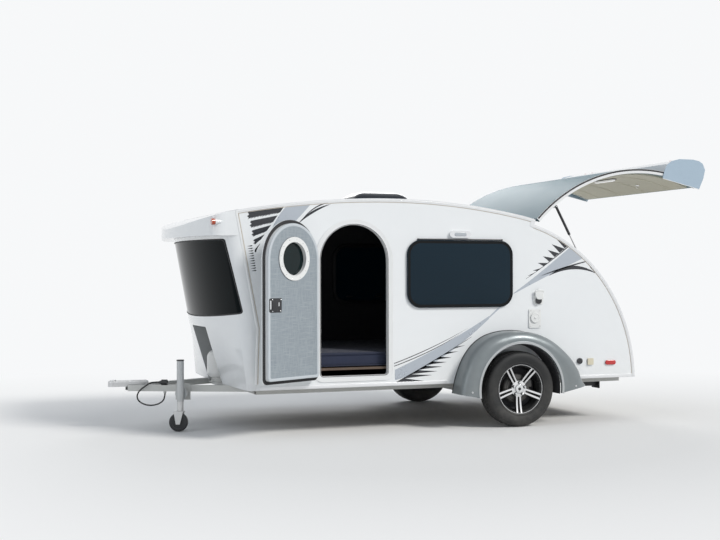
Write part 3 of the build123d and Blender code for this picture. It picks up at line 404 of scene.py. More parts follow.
class Wiring:
    """Adds nodes to one tree and links them."""

    def __init__(self, tree: bpy.types.NodeTree) -> None:
        """Keeps the tree."""
        self.tree = tree

    def node(self, kind: str, **settings: object) -> bpy.types.Node:
        """A new node with its properties set.

        Args:
            kind: the node's type name.
            settings: properties by name.

        Returns:
            The node.
        """
        made = self.tree.nodes.new(kind)
        for key, value in settings.items():
            setattr(made, key, value)
        return made

    def feed(self, socket: Output, value: Feed) -> None:
        """Links a socket to the value, or sets the value on it."""
        if isinstance(value, Output):
            self.tree.links.new(value, socket)
        elif isinstance(value, tuple) and len(value) == 3 and socket.type == "RGBA":
            socket.default_value = (*value, 1.0)
        else:
            socket.default_value = value

    def maths(self, operation: str, *values: Feed) -> Output:
        """Result of a maths node."""
        made = self.node("ShaderNodeMath", operation=operation)
        for socket, value in zip(made.inputs, values):
            self.feed(socket, value)
        return made.outputs[0]

    def mix(self, share: Feed, first: Feed, second: Feed) -> Output:
        """Colour between two colours."""
        made = self.node("ShaderNodeMix", data_type="RGBA")
        self.feed(made.inputs[0], share)
        self.feed(made.inputs[6], first)
        self.feed(made.inputs[7], second)
        return made.outputs[2]

    def blend(self, share: Feed, first: Feed, second: Feed) -> Output:
        """Number between two numbers."""
        made = self.node("ShaderNodeMix", data_type="FLOAT")
        self.feed(made.inputs[0], share)
        self.feed(made.inputs[2], first)
        self.feed(made.inputs[3], second)
        return made.outputs[0]

    def scale(self, value: Feed, low: Feed, high: Feed) -> Output:
        """Value mapped from a range to 0 and 1, and clamped."""
        made = self.node("ShaderNodeMapRange")
        for socket, number in zip(made.inputs, (value, low, high)):
            self.feed(socket, number)
        return made.outputs[0]

    def place(self, stretch: Point = (1, 1, 1), turn: Point = (0, 0, 0)) -> Output:
        """Object coordinates, stretched and turned."""
        where = self.node("ShaderNodeTexCoord")
        made = self.node("ShaderNodeMapping")
        self.feed(made.inputs["Vector"], where.outputs["Object"])
        made.inputs["Scale"].default_value = stretch
        made.inputs["Rotation"].default_value = turn
        return made.outputs[0]

    def noise(self, where: Output, scale: Feed, detail: float = 3.0, rough: float = 0.5) -> Output:
        """Noise from 0 to 1."""
        made = self.node("ShaderNodeTexNoise")
        self.feed(made.inputs["Vector"], where)
        self.feed(made.inputs["Scale"], scale)
        self.feed(made.inputs["Detail"], detail)
        self.feed(made.inputs["Roughness"], rough)
        return made.outputs["Fac"]


@dataclass(frozen=True)
class Socket:
    """One input or output of a node group."""

    name: str
    kind: str
    value: object = None


NUMBER = "NodeSocketFloat"
TINT = "NodeSocketColor"
SURFACE = (Socket("Colour", TINT), Socket("Roughness", NUMBER))
RELIEF = (Socket("Height", NUMBER), Socket("Mask", NUMBER))
Ports = bpy.types.bpy_prop_collection


def new_group(name: str, inputs: Sequence[Socket],
              outputs: Sequence[Socket]) -> tuple[Wiring, Ports, Ports]:
    """An empty node group with named sockets.

    Args:
        name: the group's name.
        inputs: its inputs with their first values.
        outputs: its outputs.

    Returns:
        The wiring, the inputs by name and the output node.
    """
    tree = bpy.data.node_groups.new(name, "ShaderNodeTree")
    for socket in inputs:
        made = tree.interface.new_socket(name=socket.name, in_out="INPUT", socket_type=socket.kind)
        if socket.value is not None:
            made.default_value = (*socket.value, 1.0) if socket.kind == TINT else socket.value
    for socket in outputs:
        tree.interface.new_socket(name=socket.name, in_out="OUTPUT", socket_type=socket.kind)
    wiring = Wiring(tree)
    entry = wiring.node("NodeGroupInput")
    leave = wiring.node("NodeGroupOutput")
    return wiring, entry.outputs, leave.inputs


class Effects:
    """The node groups that materials share. Each is built once, when it is first used."""

    def __init__(self) -> None:
        """Starts with no group built."""
        self.built: dict[str, bpy.types.NodeTree] = {}

    def get(self, name: str) -> bpy.types.NodeTree:
        """A group by name, built on first use."""
        if name not in self.built:
            self.built[name] = getattr(self, f"make_{name}")()
        return self.built[name]

    def make_mottle(self) -> bpy.types.NodeTree:
        """Slow and fine variation of colour and roughness."""
        w, into, out = new_group("mottle", [
            Socket("Colour", TINT, (0.5, 0.5, 0.5)), Socket("Roughness", NUMBER, 0.4),
            Socket("Scale", NUMBER, 6.0), Socket("Colour amount", NUMBER, 0.05),
            Socket("Roughness amount", NUMBER, 0.06),
        ], SURFACE)
        where = w.place()
        slow = w.noise(where, into["Scale"], 4.0, 0.6)
        fine = w.noise(where, w.maths("MULTIPLY", into["Scale"], 9.0), 2.0, 0.5)
        both = w.maths("SUBTRACT", w.maths("MULTIPLY_ADD", fine, 0.35, w.maths("MULTIPLY", slow, 0.65)), 0.5)
        level = w.maths("MULTIPLY_ADD", both, w.maths("MULTIPLY", into["Colour amount"], 4.0), 1.0)
        bright = w.node("ShaderNodeVectorMath", operation="SCALE")
        w.feed(bright.inputs[0], into["Colour"])
        w.feed(bright.inputs["Scale"], level)
        w.feed(out["Colour"], bright.outputs[0])
        rough = w.maths("MULTIPLY_ADD", both, w.maths("MULTIPLY", into["Roughness amount"], 4.0),
                        into["Roughness"])
        w.feed(out["Roughness"], w.scale(rough, 0.0, 1.0))
        return w.tree

    def make_edge_wear(self) -> bpy.types.NodeTree:
        """Worn colour along edges, where the surface turns within a small radius."""
        w, into, out = new_group("edge_wear", [
            Socket("Colour", TINT, (0.5, 0.5, 0.5)), Socket("Worn colour", TINT, (0.6, 0.6, 0.6)),
            Socket("Roughness", NUMBER, 0.4), Socket("Worn roughness", NUMBER, 0.3),
            Socket("Radius", NUMBER, 0.002), Socket("Amount", NUMBER, 0.5),
        ], SURFACE)
        soft = w.node("ShaderNodeBevel", samples=4)
        w.feed(soft.inputs["Radius"], into["Radius"])
        flat = w.node("ShaderNodeNewGeometry")
        dot = w.node("ShaderNodeVectorMath", operation="DOT_PRODUCT")
        w.feed(dot.inputs[0], soft.outputs[0])
        w.feed(dot.inputs[1], flat.outputs["Normal"])
        edge = w.scale(dot.outputs["Value"], 0.97, 0.80)
        patch = w.scale(w.noise(w.place(), 55.0, 4.0, 0.7), 0.42, 0.62)
        mask = w.maths("MULTIPLY", w.maths("MULTIPLY", edge, patch), into["Amount"])
        w.feed(out["Colour"], w.mix(mask, into["Colour"], into["Worn colour"]))
        w.feed(out["Roughness"], w.blend(mask, into["Roughness"], into["Worn roughness"]))
        return w.tree

    def make_dust(self) -> bpy.types.NodeTree:
        """Pale road dust that thickens towards the ground."""
        w, into, out = new_group("dust", [
            Socket("Colour", TINT, (0.5, 0.5, 0.5)), Socket("Roughness", NUMBER, 0.4),
            Socket("Amount", NUMBER, 0.3), Socket("Top", NUMBER, 0.5),
        ], SURFACE)
        where = w.node("ShaderNodeTexCoord")
        split = w.node("ShaderNodeSeparateXYZ")
        w.feed(split.inputs[0], where.outputs["Object"])
        height = w.scale(split.outputs["Z"], into["Top"], GROUND)
        cloud = w.scale(w.noise(w.place(), 7.0, 6.0, 0.65), 0.32, 0.72)
        mask = w.maths("MULTIPLY", w.maths("MULTIPLY", height, cloud), into["Amount"])
        w.feed(out["Colour"], w.mix(mask, into["Colour"], ROAD_DUST))
        w.feed(out["Roughness"], w.blend(mask, into["Roughness"], 0.85))
        return w.tree

    def make_brush(self) -> bpy.types.NodeTree:
        """Long fine lines, as a brush or a roller leaves them on metal."""
        w, into, out = new_group("brush", [Socket("Scale", NUMBER, 60.0)], RELIEF)
        lines = w.noise(w.place((0.06, 1.0, 1.0)), into["Scale"], 4.0, 0.7)
        w.feed(out["Height"], lines)
        w.feed(out["Mask"], w.scale(lines, 0.3, 0.7))
        return w.tree

    def make_linen(self) -> bpy.types.NodeTree:
        """Embossed cloth pattern: two crossed sets of uneven threads."""
        w, into, out = new_group("linen", [Socket("Scale", NUMBER, 260.0)], RELIEF)
        upright = w.noise(w.place((1.0, 1.0, 0.05)), into["Scale"], 2.0, 0.5)
        level = w.noise(w.place((0.05, 0.05, 1.0)), into["Scale"], 2.0, 0.5)
        both = w.maths("MAXIMUM", upright, level)
        w.feed(out["Height"], both)
        w.feed(out["Mask"], w.scale(both, 0.42, 0.7))
        return w.tree

    def make_weave(self) -> bpy.types.NodeTree:
        """Plain weave: the higher of two crossed waves."""
        w, into, out = new_group("weave", [Socket("Scale", NUMBER, 900.0)], RELIEF)
        where = w.node("ShaderNodeTexCoord")
        split = w.node("ShaderNodeSeparateXYZ")
        w.feed(split.inputs[0], where.outputs["Object"])
        waves = [w.maths("SINE", w.maths("MULTIPLY", split.outputs[k], into["Scale"])) for k in (0, 1)]
        fuzz = w.noise(w.place(), 420.0, 3.0, 0.6)
        cloth = w.maths("ADD", w.maths("MULTIPLY", waves[0], waves[1]), fuzz)
        w.feed(out["Height"], cloth)
        w.feed(out["Mask"], w.scale(cloth, -0.4, 1.4))
        return w.tree

    def make_grain(self) -> bpy.types.NodeTree:
        """Wood grain: rings that noise has stretched along the board."""
        w, into, out = new_group("grain", [Socket("Scale", NUMBER, 9.0)], RELIEF)
        slow = w.noise(w.place((1.0, 0.12, 1.0)), into["Scale"], 5.0, 0.6)
        rings = w.maths("SINE", w.maths("MULTIPLY", slow, 60.0))
        fine = w.noise(w.place((14.0, 0.7, 14.0)), into["Scale"], 3.0, 0.6)
        both = w.maths("MULTIPLY_ADD", rings, 0.25, fine)
        w.feed(out["Height"], both)
        w.feed(out["Mask"], w.scale(both, 0.1, 0.9))
        return w.tree


EFFECTS = Effects()
WORKSHOP: dict[str, bpy.types.Material] = {}


@dataclass(frozen=True)
class Finish:
    """One surface finish, with the shared effects that it uses."""

    name: str
    colour: Colour
    roughness: float
    metallic: float = 0.0
    coat: float = 0.0
    texture: Texture = Texture.SMOOTH
    relief: float = 0.0
    texture_scale: float = 200.0
    second: Optional[Colour] = None
    mottle: float = 0.03
    mottle_scale: float = 5.0
    wear: float = 0.0
    worn: Colour = (0.62, 0.62, 0.62)
    dust: float = 0.0
    dust_top: float = 0.6
    transmission: float = 0.0
    sheen: float = 0.0
    glow: float = 0.0
    specular: float = 0.5

    def effect(self, w: Wiring, name: str, **values: Feed) -> bpy.types.Node:
        """Places a shared group in this finish's tree.

        Args:
            w: the tree's wiring.
            name: the group's name.
            values: its inputs, with underscores for spaces.

        Returns:
            The group node.
        """
        made = w.node("ShaderNodeGroup", node_tree=EFFECTS.get(name))
        for key, value in values.items():
            w.feed(made.inputs[key.replace("_", " ")], value)
        return made

    def relief_nodes(self, w: Wiring, colour: Output) -> tuple[Output, Optional[Output]]:
        """Adds the finish's texture.

        Args:
            w: the tree's wiring.
            colour: colour so far.

        Returns:
            The new colour and the normal, which is None on a smooth finish.
        """
        if self.texture is Texture.SMOOTH:
            return colour, None
        groups = {Texture.BRUSHED: "brush", Texture.LINEN: "linen", Texture.WEAVE: "weave",
                  Texture.GRAIN: "grain"}
        if self.texture in groups:
            made = self.effect(w, groups[self.texture], Scale=self.texture_scale)
            height, mask = made.outputs["Height"], made.outputs["Mask"]
            if self.second:
                colour = w.mix(mask, colour, self.second)
        else:
            rough = 0.75 if self.texture is Texture.CAST else 0.5
            height = w.noise(w.place(), self.texture_scale, 3.0, rough)
        bump = w.node("ShaderNodeBump")
        bump.inputs["Strength"].default_value = 1.0
        bump.inputs["Distance"].default_value = self.relief
        w.feed(bump.inputs["Height"], height)
        return colour, bump.outputs[0]

    def material(self) -> bpy.types.Material:
        """The finish as a material, made once.

        Returns:
            The material.
        """
        if self.name in WORKSHOP:
            return WORKSHOP[self.name]
        made = bpy.data.materials.new(self.name)
        made.use_nodes = True
        made.node_tree.nodes.clear()
        w = Wiring(made.node_tree)
        shader = w.node("ShaderNodeBsdfPrincipled")
        output = w.node("ShaderNodeOutputMaterial")
        w.feed(output.inputs[0], shader.outputs[0])
        ground = self.effect(w, "mottle", Colour=self.colour, Roughness=self.roughness,
                             Scale=self.mottle_scale, Colour_amount=self.mottle,
                             Roughness_amount=self.mottle)
        colour, roughness = ground.outputs["Colour"], ground.outputs["Roughness"]
        colour, normal = self.relief_nodes(w, colour)
        if self.wear:
            worn = self.effect(w, "edge_wear", Colour=colour, Worn_colour=self.worn, Roughness=roughness,
                               Amount=self.wear)
            colour, roughness = worn.outputs["Colour"], worn.outputs["Roughness"]
        if self.dust:
            dusty = self.effect(w, "dust", Colour=colour, Roughness=roughness, Amount=self.dust,
                                Top=self.dust_top)
            colour, roughness = dusty.outputs["Colour"], dusty.outputs["Roughness"]
        w.feed(shader.inputs["Base Color"], colour)
        w.feed(shader.inputs["Roughness"], roughness)
        shader.inputs["Metallic"].default_value = self.metallic
        shader.inputs["Coat Weight"].default_value = self.coat
        shader.inputs["Coat Roughness"].default_value = 0.05
        shader.inputs["Transmission Weight"].default_value = self.transmission
        shader.inputs["Sheen Weight"].default_value = self.sheen
        shader.inputs["Specular IOR Level"].default_value = self.specular
        if self.glow:
            shader.inputs["Emission Color"].default_value = (*self.colour, 1.0)
            shader.inputs["Emission Strength"].default_value = self.glow
        if normal is not None:
            w.feed(shader.inputs["Normal"], normal)
        WORKSHOP[self.name] = made
        return made


GELCOAT = Finish("white_gelcoat", (0.80, 0.82, 0.83), 0.20, coat=0.35, texture=Texture.PEEL, relief=0.00006,
                 texture_scale=160, mottle=0.012, mottle_scale=1.3, dust=0.30, dust_top=0.35)
CAP_GELCOAT = Finish("cap_gelcoat", (0.77, 0.79, 0.80), 0.17, coat=0.5, texture=Texture.PEEL, relief=0.00005,
                     texture_scale=120, mottle=0.012, mottle_scale=1.6, dust=0.35, dust_top=0.4)
TRIM = Finish("anodised_trim", (0.74, 0.75, 0.76), 0.34, metallic=0.55, texture=Texture.BRUSHED,
              relief=0.00004, texture_scale=220, mottle=0.02, wear=0.2, worn=(0.85, 0.85, 0.85))
WHITE_TRIM = Finish("white_trim", (0.78, 0.79, 0.79), 0.3, coat=0.2, mottle=0.015)
BEIGE_SEAL = Finish("sealant", (0.55, 0.50, 0.43), 0.6, texture=Texture.CAST, relief=0.0002,
                    texture_scale=90, mottle=0.06)
TINTED = Finish("tinted_acrylic", (0.003, 0.017, 0.030), 0.04, mottle=0.0, transmission=0.15, specular=0.16)
PORT_GLASS = Finish("port_acrylic", (0.003, 0.013, 0.014), 0.04, mottle=0.0, transmission=0.25, specular=0.18)
GLASS_PRINT = Finish("glass_print", (0.003, 0.004, 0.005), 0.12, mottle=0.0, specular=0.2)
# Near-black linen. Inside the cabin it is painted shade: the walls' inner faces and the roof's underside take
# it. The wheels' dust shields and the arch liners use it too.
DARK_LINING_AND_SHADE = Finish("dark_lining_and_painted_shade", (0.050, 0.050, 0.054), 0.8, texture=Texture.LINEN, relief=0.0002,
                     texture_scale=300, second=(0.065, 0.065, 0.07), mottle=0.03, specular=0.2)
# Grey of the bottle bay's recess: painted shade on the white cap.
BAY_SHADE_GREY = Finish("bay_painted_shade", (0.40, 0.41, 0.41), 0.5, texture=Texture.MOULDED, relief=0.00015,
                  texture_scale=260, mottle=0.04, specular=0.3)
CAP_GLASS = Finish("cap_glass", (0.0015, 0.004, 0.005), 0.06, mottle=0.0, specular=0.05)
BLACK_RUBBER = Finish("black_rubber", (0.018, 0.018, 0.02), 0.62, texture=Texture.CAST, relief=0.00015,
                      texture_scale=300, mottle=0.05)
BLACK_PLASTIC = Finish("black_plastic", (0.022, 0.023, 0.026), 0.42, texture=Texture.MOULDED,
                       relief=0.00012, texture_scale=500, mottle=0.03, wear=0.25, worn=(0.12, 0.12, 0.12))
LINEN_PANEL = Finish("linen_panel", (0.27, 0.31, 0.34), 0.42, metallic=0.35, texture=Texture.LINEN,
                     relief=0.0003, texture_scale=230, second=(0.36, 0.40, 0.43), mottle=0.06,
                     mottle_scale=2.4, specular=0.3)
FRAME_PAINT = Finish("frame_paint", (0.50, 0.51, 0.50), 0.42, metallic=0.35, texture=Texture.CAST,
                     relief=0.0002, texture_scale=180, mottle=0.05, mottle_scale=7, wear=0.6,
                     worn=(0.30, 0.28, 0.26), dust=0.45, dust_top=0.15)
ZINC = Finish("zinc_plate", (0.56, 0.57, 0.58), 0.36, metallic=0.9, texture=Texture.CAST, relief=0.00015,
              texture_scale=60, mottle=0.09, mottle_scale=16, wear=0.5, worn=(0.75, 0.75, 0.74), dust=0.2,
              dust_top=0.2)
JACK_PAINT = Finish("jack_paint", (0.48, 0.50, 0.51), 0.35, metallic=0.4, mottle=0.05, mottle_scale=9,
                    wear=0.6, worn=(0.70, 0.70, 0.70), dust=0.3, dust_top=0.3)
STEEL = Finish("bright_steel", (0.62, 0.62, 0.62), 0.26, metallic=1.0, mottle=0.05, mottle_scale=25,
               wear=0.4, worn=(0.85, 0.85, 0.85))
CHROME = Finish("chrome", (0.80, 0.81, 0.82), 0.09, metallic=1.0, mottle=0.01)
DARK_IRON = Finish("dark_iron", (0.07, 0.07, 0.072), 0.55, metallic=0.5, texture=Texture.CAST,
                   relief=0.0004, texture_scale=120, mottle=0.12, mottle_scale=14, wear=0.5,
                   worn=(0.25, 0.17, 0.11), dust=0.4, dust_top=0.2)
TYRE_RUBBER = Finish("tyre_rubber", (0.016, 0.017, 0.018), 0.62, texture=Texture.CAST, relief=0.0003,
                     texture_scale=260, mottle=0.10, mottle_scale=9, dust=0.14, dust_top=0.2, specular=0.35)
WHEEL_BLACK = Finish("wheel_black", (0.008, 0.009, 0.010), 0.45, mottle=0.04, dust=0.05, dust_top=0.6,
                     specular=0.3)
MACHINED = Finish("machined_face", (0.78, 0.78, 0.79), 0.2, metallic=1.0, texture=Texture.BRUSHED,
                  relief=0.00003, texture_scale=400, mottle=0.02)
FENDER_SILVER = Finish("fender_silver", (0.20, 0.225, 0.235), 0.36, metallic=0.35, coat=0.1,
                       texture=Texture.MOULDED, relief=0.0002, texture_scale=420, mottle=0.06,
                       mottle_scale=3, dust=0.2, dust_top=0.3, specular=0.4)
FENDER_LIP = Finish("fender_lip", (0.44, 0.46, 0.47), 0.32, metallic=0.25, coat=0.2, mottle=0.03,
                    dust=0.2, dust_top=0.3)
HATCH_SKIN = Finish("hatch_skin", (0.150, 0.235, 0.270), 0.45, mottle=0.03, mottle_scale=1.5, specular=0.12)
# Blue-grey of the tail cheeks: painted sky reflection and shade on white gelcoat.
CHEEK_SKY_REFLECTION = Finish("cheek_painted_sky_reflection", (0.40, 0.50, 0.59), 0.30, mottle=0.02, mottle_scale=1.5, specular=0.2)
LAMP_LENS = Finish("lamp_lens", (0.42, 0.45, 0.48), 0.15, coat=0.3, mottle=0.0)
INNER_BORDER = Finish("inner_border", (0.52, 0.56, 0.59), 0.35, mottle=0.02, specular=0.3)
HATCH_LINER = Finish("hatch_liner", (0.52, 0.50, 0.39), 0.6, texture=Texture.LINEN, relief=0.0002,
                     texture_scale=300, second=(0.57, 0.55, 0.44), mottle=0.03)
SMOKE = Finish("smoked_dome", (0.006, 0.010, 0.018), 0.18, mottle=0.02, transmission=0.1, specular=0.3)
CABINET = Finish("cabinet_wood", (0.075, 0.050, 0.034), 0.5, coat=0.1, texture=Texture.GRAIN,
                 relief=0.0002, texture_scale=7, second=(0.11, 0.075, 0.05), mottle=0.05)
WORKTOP = Finish("worktop", (0.13, 0.12, 0.115), 0.25, coat=0.4, texture=Texture.MOULDED, relief=0.00008,
                 texture_scale=240, mottle=0.16, mottle_scale=60)
FLOORING = Finish("floor_board", (0.15, 0.12, 0.09), 0.5, texture=Texture.GRAIN, relief=0.0002,
                  texture_scale=6, second=(0.22, 0.18, 0.13), mottle=0.05)
TICKING = Finish("mattress_cloth", (0.010, 0.015, 0.038), 0.85, texture=Texture.WEAVE, relief=0.0006,
                 texture_scale=1400, second=(0.018, 0.026, 0.06), mottle=0.06, sheen=0.15)
BOTTLE_PAINT = Finish("bottle_paint", (0.78, 0.78, 0.76), 0.3, coat=0.2, texture=Texture.PEEL,
                      relief=0.0001, texture_scale=90, mottle=0.03, wear=0.5, worn=(0.35, 0.28, 0.22))
CREAM = Finish("cream_plastic", (0.66, 0.61, 0.47), 0.38, coat=0.1, mottle=0.02)
WHITE_PLASTIC = Finish("white_plastic", (0.76, 0.77, 0.76), 0.34, coat=0.1, mottle=0.02)
RED_LENS = Finish("red_lens", (0.48, 0.012, 0.012), 0.12, coat=0.7, mottle=0.03, mottle_scale=60, glow=0.06)
AMBER_LENS = Finish("amber_lens", (0.42, 0.055, 0.012), 0.14, coat=0.5, mottle=0.03, mottle_scale=60)
LIGHT_BAR = Finish("light_bar", (0.85, 0.86, 0.86), 0.3, glow=0.35, mottle=0.0)
CABLE_JACKET = Finish("cable_jacket", (0.014, 0.014, 0.015), 0.48, mottle=0.06, mottle_scale=40)
BRASS = Finish("brass", (0.58, 0.42, 0.18), 0.3, metallic=1.0, mottle=0.06, mottle_scale=40)
STRIPE_BLACK = Finish("stripe_black", (0.020, 0.022, 0.027), 0.25, coat=0.3, mottle=0.02)
STRIPE_SILVER = Finish("stripe_silver", (0.44, 0.48, 0.53), 0.28, metallic=0.45, coat=0.3, mottle=0.02)


# Pieces


def dress(finish: Finish, *names: str) -> None:
    """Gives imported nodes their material.

    Args:
        finish: the finish.
        names: node names.
    """
    for name in names:
        slots = NODES[name].data.materials
        slots.clear()
        slots.append(finish.material())


def piece(name: str, skin: Skin, finish: Finish, body: str,
          angle: float = 38.0) -> bpy.types.Object:
    """Puts a skin into the scene as one object that rides on a body.

    Args:
        name: the piece's name.
        skin: its points and faces.
        finish: its finish.
        body: the body that carries it.
        angle: faces that meet at more than this many degrees keep a sharp edge.

    Returns:
        The object.
    """
    mesh = bpy.data.meshes.new(name)
    mesh.from_pydata(skin.points.tolist(), [], skin.faces)
    mesh.update()
    mesh.shade_smooth()
    mesh.set_sharp_from_angle(angle=math.radians(angle))
    made = bpy.data.objects.new(name, mesh)
    bpy.context.scene.collection.objects.link(made)
    mesh.materials.append(finish.material())
    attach(made, body)
    LOG.info("%s: %d faces on %s", name, len(skin.faces), body)
    return made


def dress_part(name: str, finish: Finish, chosen: Chooser) -> None:
    """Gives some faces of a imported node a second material.

    Args:
        name: the node.
        finish: the finish for the chosen faces.
        chosen: a function of the faces' centres and normals, each n by 3, that says which faces take it.
    """
    mesh = NODES[name].data
    count = len(mesh.polygons)
    centres, normals = np.empty(count * 3), np.empty(count * 3)
    mesh.polygons.foreach_get("center", centres)
    mesh.polygons.foreach_get("normal", normals)
    slots = np.empty(count, dtype=np.int32)
    mesh.polygons.foreach_get("material_index", slots)
    slots[chosen(centres.reshape(-1, 3), normals.reshape(-1, 3))] = len(mesh.materials)
    mesh.materials.append(finish.material())
    mesh.polygons.foreach_set("material_index", slots)


def between(axis: int, low: float, high: float = math.inf) -> Chooser:
    """Chooses the faces whose centre lies between two places along an axis."""
    return lambda centres, normals: (centres[:, axis] > low) & (centres[:, axis] < high)


MM = 0.001
WALL_FACE = float(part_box("right_wall")[1][1])


def in_side_view(line: Array, y: float) -> Array:
    """Points in x and z as points in space at one y."""
    return np.column_stack([line[:, 0], np.full(len(line), y), line[:, 1]])


def decal(outline: Array, side: Side, thick: float = 0.0005) -> Skin:
    """Thin plate on a side wall from an outline in x and z.

    Args:
        outline: points by 2, in metres.
        side: which wall.
        thick: how far it stands off the wall.

    Returns:
        The closed plate.
    """
    face = side.value * (WALL_FACE + 0.0001)
    return sheet_plate(outline, face, face + side.value * thick)


# Shapes that several sub-assemblies share


def hoop(outer: Array, inner: Array, low: float, high: float) -> Skin:
    """Flat frame between two outlines in x and z: four rings, the outer and inner outline at two values of y.

    Args:
        outer: points by 2.
        inner: as many points by 2, in the same order.
        low: y of one face.
        high: y of the other face.

    Returns:
        The closed frame.
    """
    rings = [in_side_view(line, y) for line, y in ((outer, low), (outer, high), (inner, high), (inner, low))]
    return lofted(np.array(rings), loop=True)


def sheet_plate(outline: Array, low: float, high: float) -> Skin:
    """Flat plate with an outline in x and z, between two values of y."""
    return lofted(np.array([in_side_view(outline, y) for y in (low, high)]))


def pulled_to(outline: Array, centre: Sequence[float], radius: float) -> Array:
    """Circle about a centre with a point on the ray to each point of an outline."""
    away = outline - np.array(centre)
    return np.array(centre) + away / np.linalg.norm(away, axis=1, keepdims=True) * radius


def dome(radius: float, height: float, count: int = 14) -> Skin:
    """Low round cap on z = 0: a quarter of an ellipse turned about z."""
    turn = np.linspace(0, math.pi / 2, 5)[:-1]
    profile = [(radius * math.cos(a), height * math.sin(a)) for a in turn] + [(radius * 0.08, height)]
    return turned(profile, count)


def cross_screw(radius: float = 0.0045) -> Skin:
    """Pan head with a raised cross, standing on z = 0."""
    head = dome(radius, radius * 0.55)
    arm = block(radius * 1.3, radius * 0.28, radius * 0.12, radius * 0.1, radius * 0.03, 3)
    turn = turned_about((0, 0, 1), math.pi / 2, (0, 0, 0))
    return joined([head, arm.at(0, 0, radius * 0.5), arm.moved(turn).at(0, 0, radius * 0.5)])


def hex_bolt(radius: float = 0.008, height: float = 0.006) -> Skin:
    """Hexagon head with a washer, standing on z = 0."""
    washer = turned([(radius * 1.35, 0), (radius * 1.35, radius * 0.2)], 20)
    head = turned([(radius, radius * 0.2), (radius, height - 0.001), (radius * 0.86, height)], 6)
    return joined([washer, head])


def capsule(radius: float, height: float, length: float) -> Skin:
    """Long rounded bar on z = 0 with its length along x."""
    return block(length, 2 * radius, height, radius, min(radius, height) * 0.6, 8)


@dataclass(frozen=True)
class Profile:
    """Side view of the body, as the model has it."""

    crest: tuple = (2.080, 1.505)
    front_radius: float = 7.450
    rear_radius: float = 5.900
    rear_turn: float = 11.5
    tail_radius: float = 1.430
    tail_turn: float = 86.0
    hatch_angle: float = 16.8
    hatch_open: float = 64.0
    hatch_edge: float = 0.0435
    seam_top: tuple = (0.789, 1.3923)
    seam_knee: tuple = (0.958, 0.480)
    seam_foot: tuple = (0.945, 0.0)

    def on_arc(self, centre: Sequence[float], radius: float, turns: Array) -> Array:
        """Points of an arc whose normals lean back by the given turns in degrees."""
        angle = np.radians(turns)
        return np.array(centre) + radius * np.stack([np.sin(angle), np.cos(angle)], axis=-1)

    @property
    def rear_centre(self) -> Array:
        """Centre of the rear roof arc."""
        return np.array([self.crest[0], self.crest[1] - self.rear_radius])

    @property
    def tail_centre(self) -> Array:
        """Centre of the tail arc."""
        return self.on_arc(self.rear_centre, self.rear_radius - self.tail_radius, np.array(self.rear_turn))

    def roof(self, depth: float, count: int = 40) -> Array:
        """Roof line from the front seam to the hatch, depth below the surface.

        Args:
            depth: distance inside the outer surface.
            count: points on the front arc.

        Returns:
            Points by 2, front to back.
        """
        centre = np.array([self.crest[0], self.crest[1] - self.front_radius])
        first = -math.degrees(math.asin((self.crest[0] - self.seam_top[0]) / self.front_radius))
        parts = [
            self.on_arc(centre, self.front_radius - depth, np.linspace(first, 0, count)),
            self.on_arc(self.rear_centre, self.rear_radius - depth, np.linspace(0, self.rear_turn, 24)[1:]),
            self.on_arc(self.tail_centre, self.tail_radius - depth,
                        np.linspace(self.rear_turn, self.hatch_angle, 6)[1:]),
        ]
        return np.vstack(parts)

    def tail(self, depth: float, low: float = 0.0, start: Optional[float] = None, count: int = 48) -> Array:
        """Tail arc and the straight below it.

        Args:
            depth: distance inside the outer surface.
            low: height at which the straight ends.
            start: turn in degrees where the arc starts, the hatch's when none is given.
            count: points on the arc.

        Returns:
            Points by 2, top to bottom.
        """
        first = self.hatch_angle if start is None else start
        turns = np.linspace(first, self.tail_turn, count)
        arc = self.on_arc(self.tail_centre, self.tail_radius - depth, turns)
        foot = arc[-1] + np.array([1 / math.tan(math.radians(self.tail_turn)), -1.0]) * (arc[-1][1] - low)
        return np.vstack([arc, np.linspace(arc[-1], foot, 8)[1:]])

    @property
    def hinge(self) -> Array:
        """The hatch's hinge point in x and z."""
        return self.on_arc(self.tail_centre, self.tail_radius + 0.007, np.array(self.hatch_angle))

    def opened(self, points: Array) -> Array:
        """Points of the closed hatch, n by 2, once it stands open."""
        a = math.radians(self.hatch_open)
        turn = np.array([[math.cos(a), -math.sin(a)], [math.sin(a), math.cos(a)]])
        return self.hinge + (points - self.hinge) @ turn.T


PROFILE = Profile()


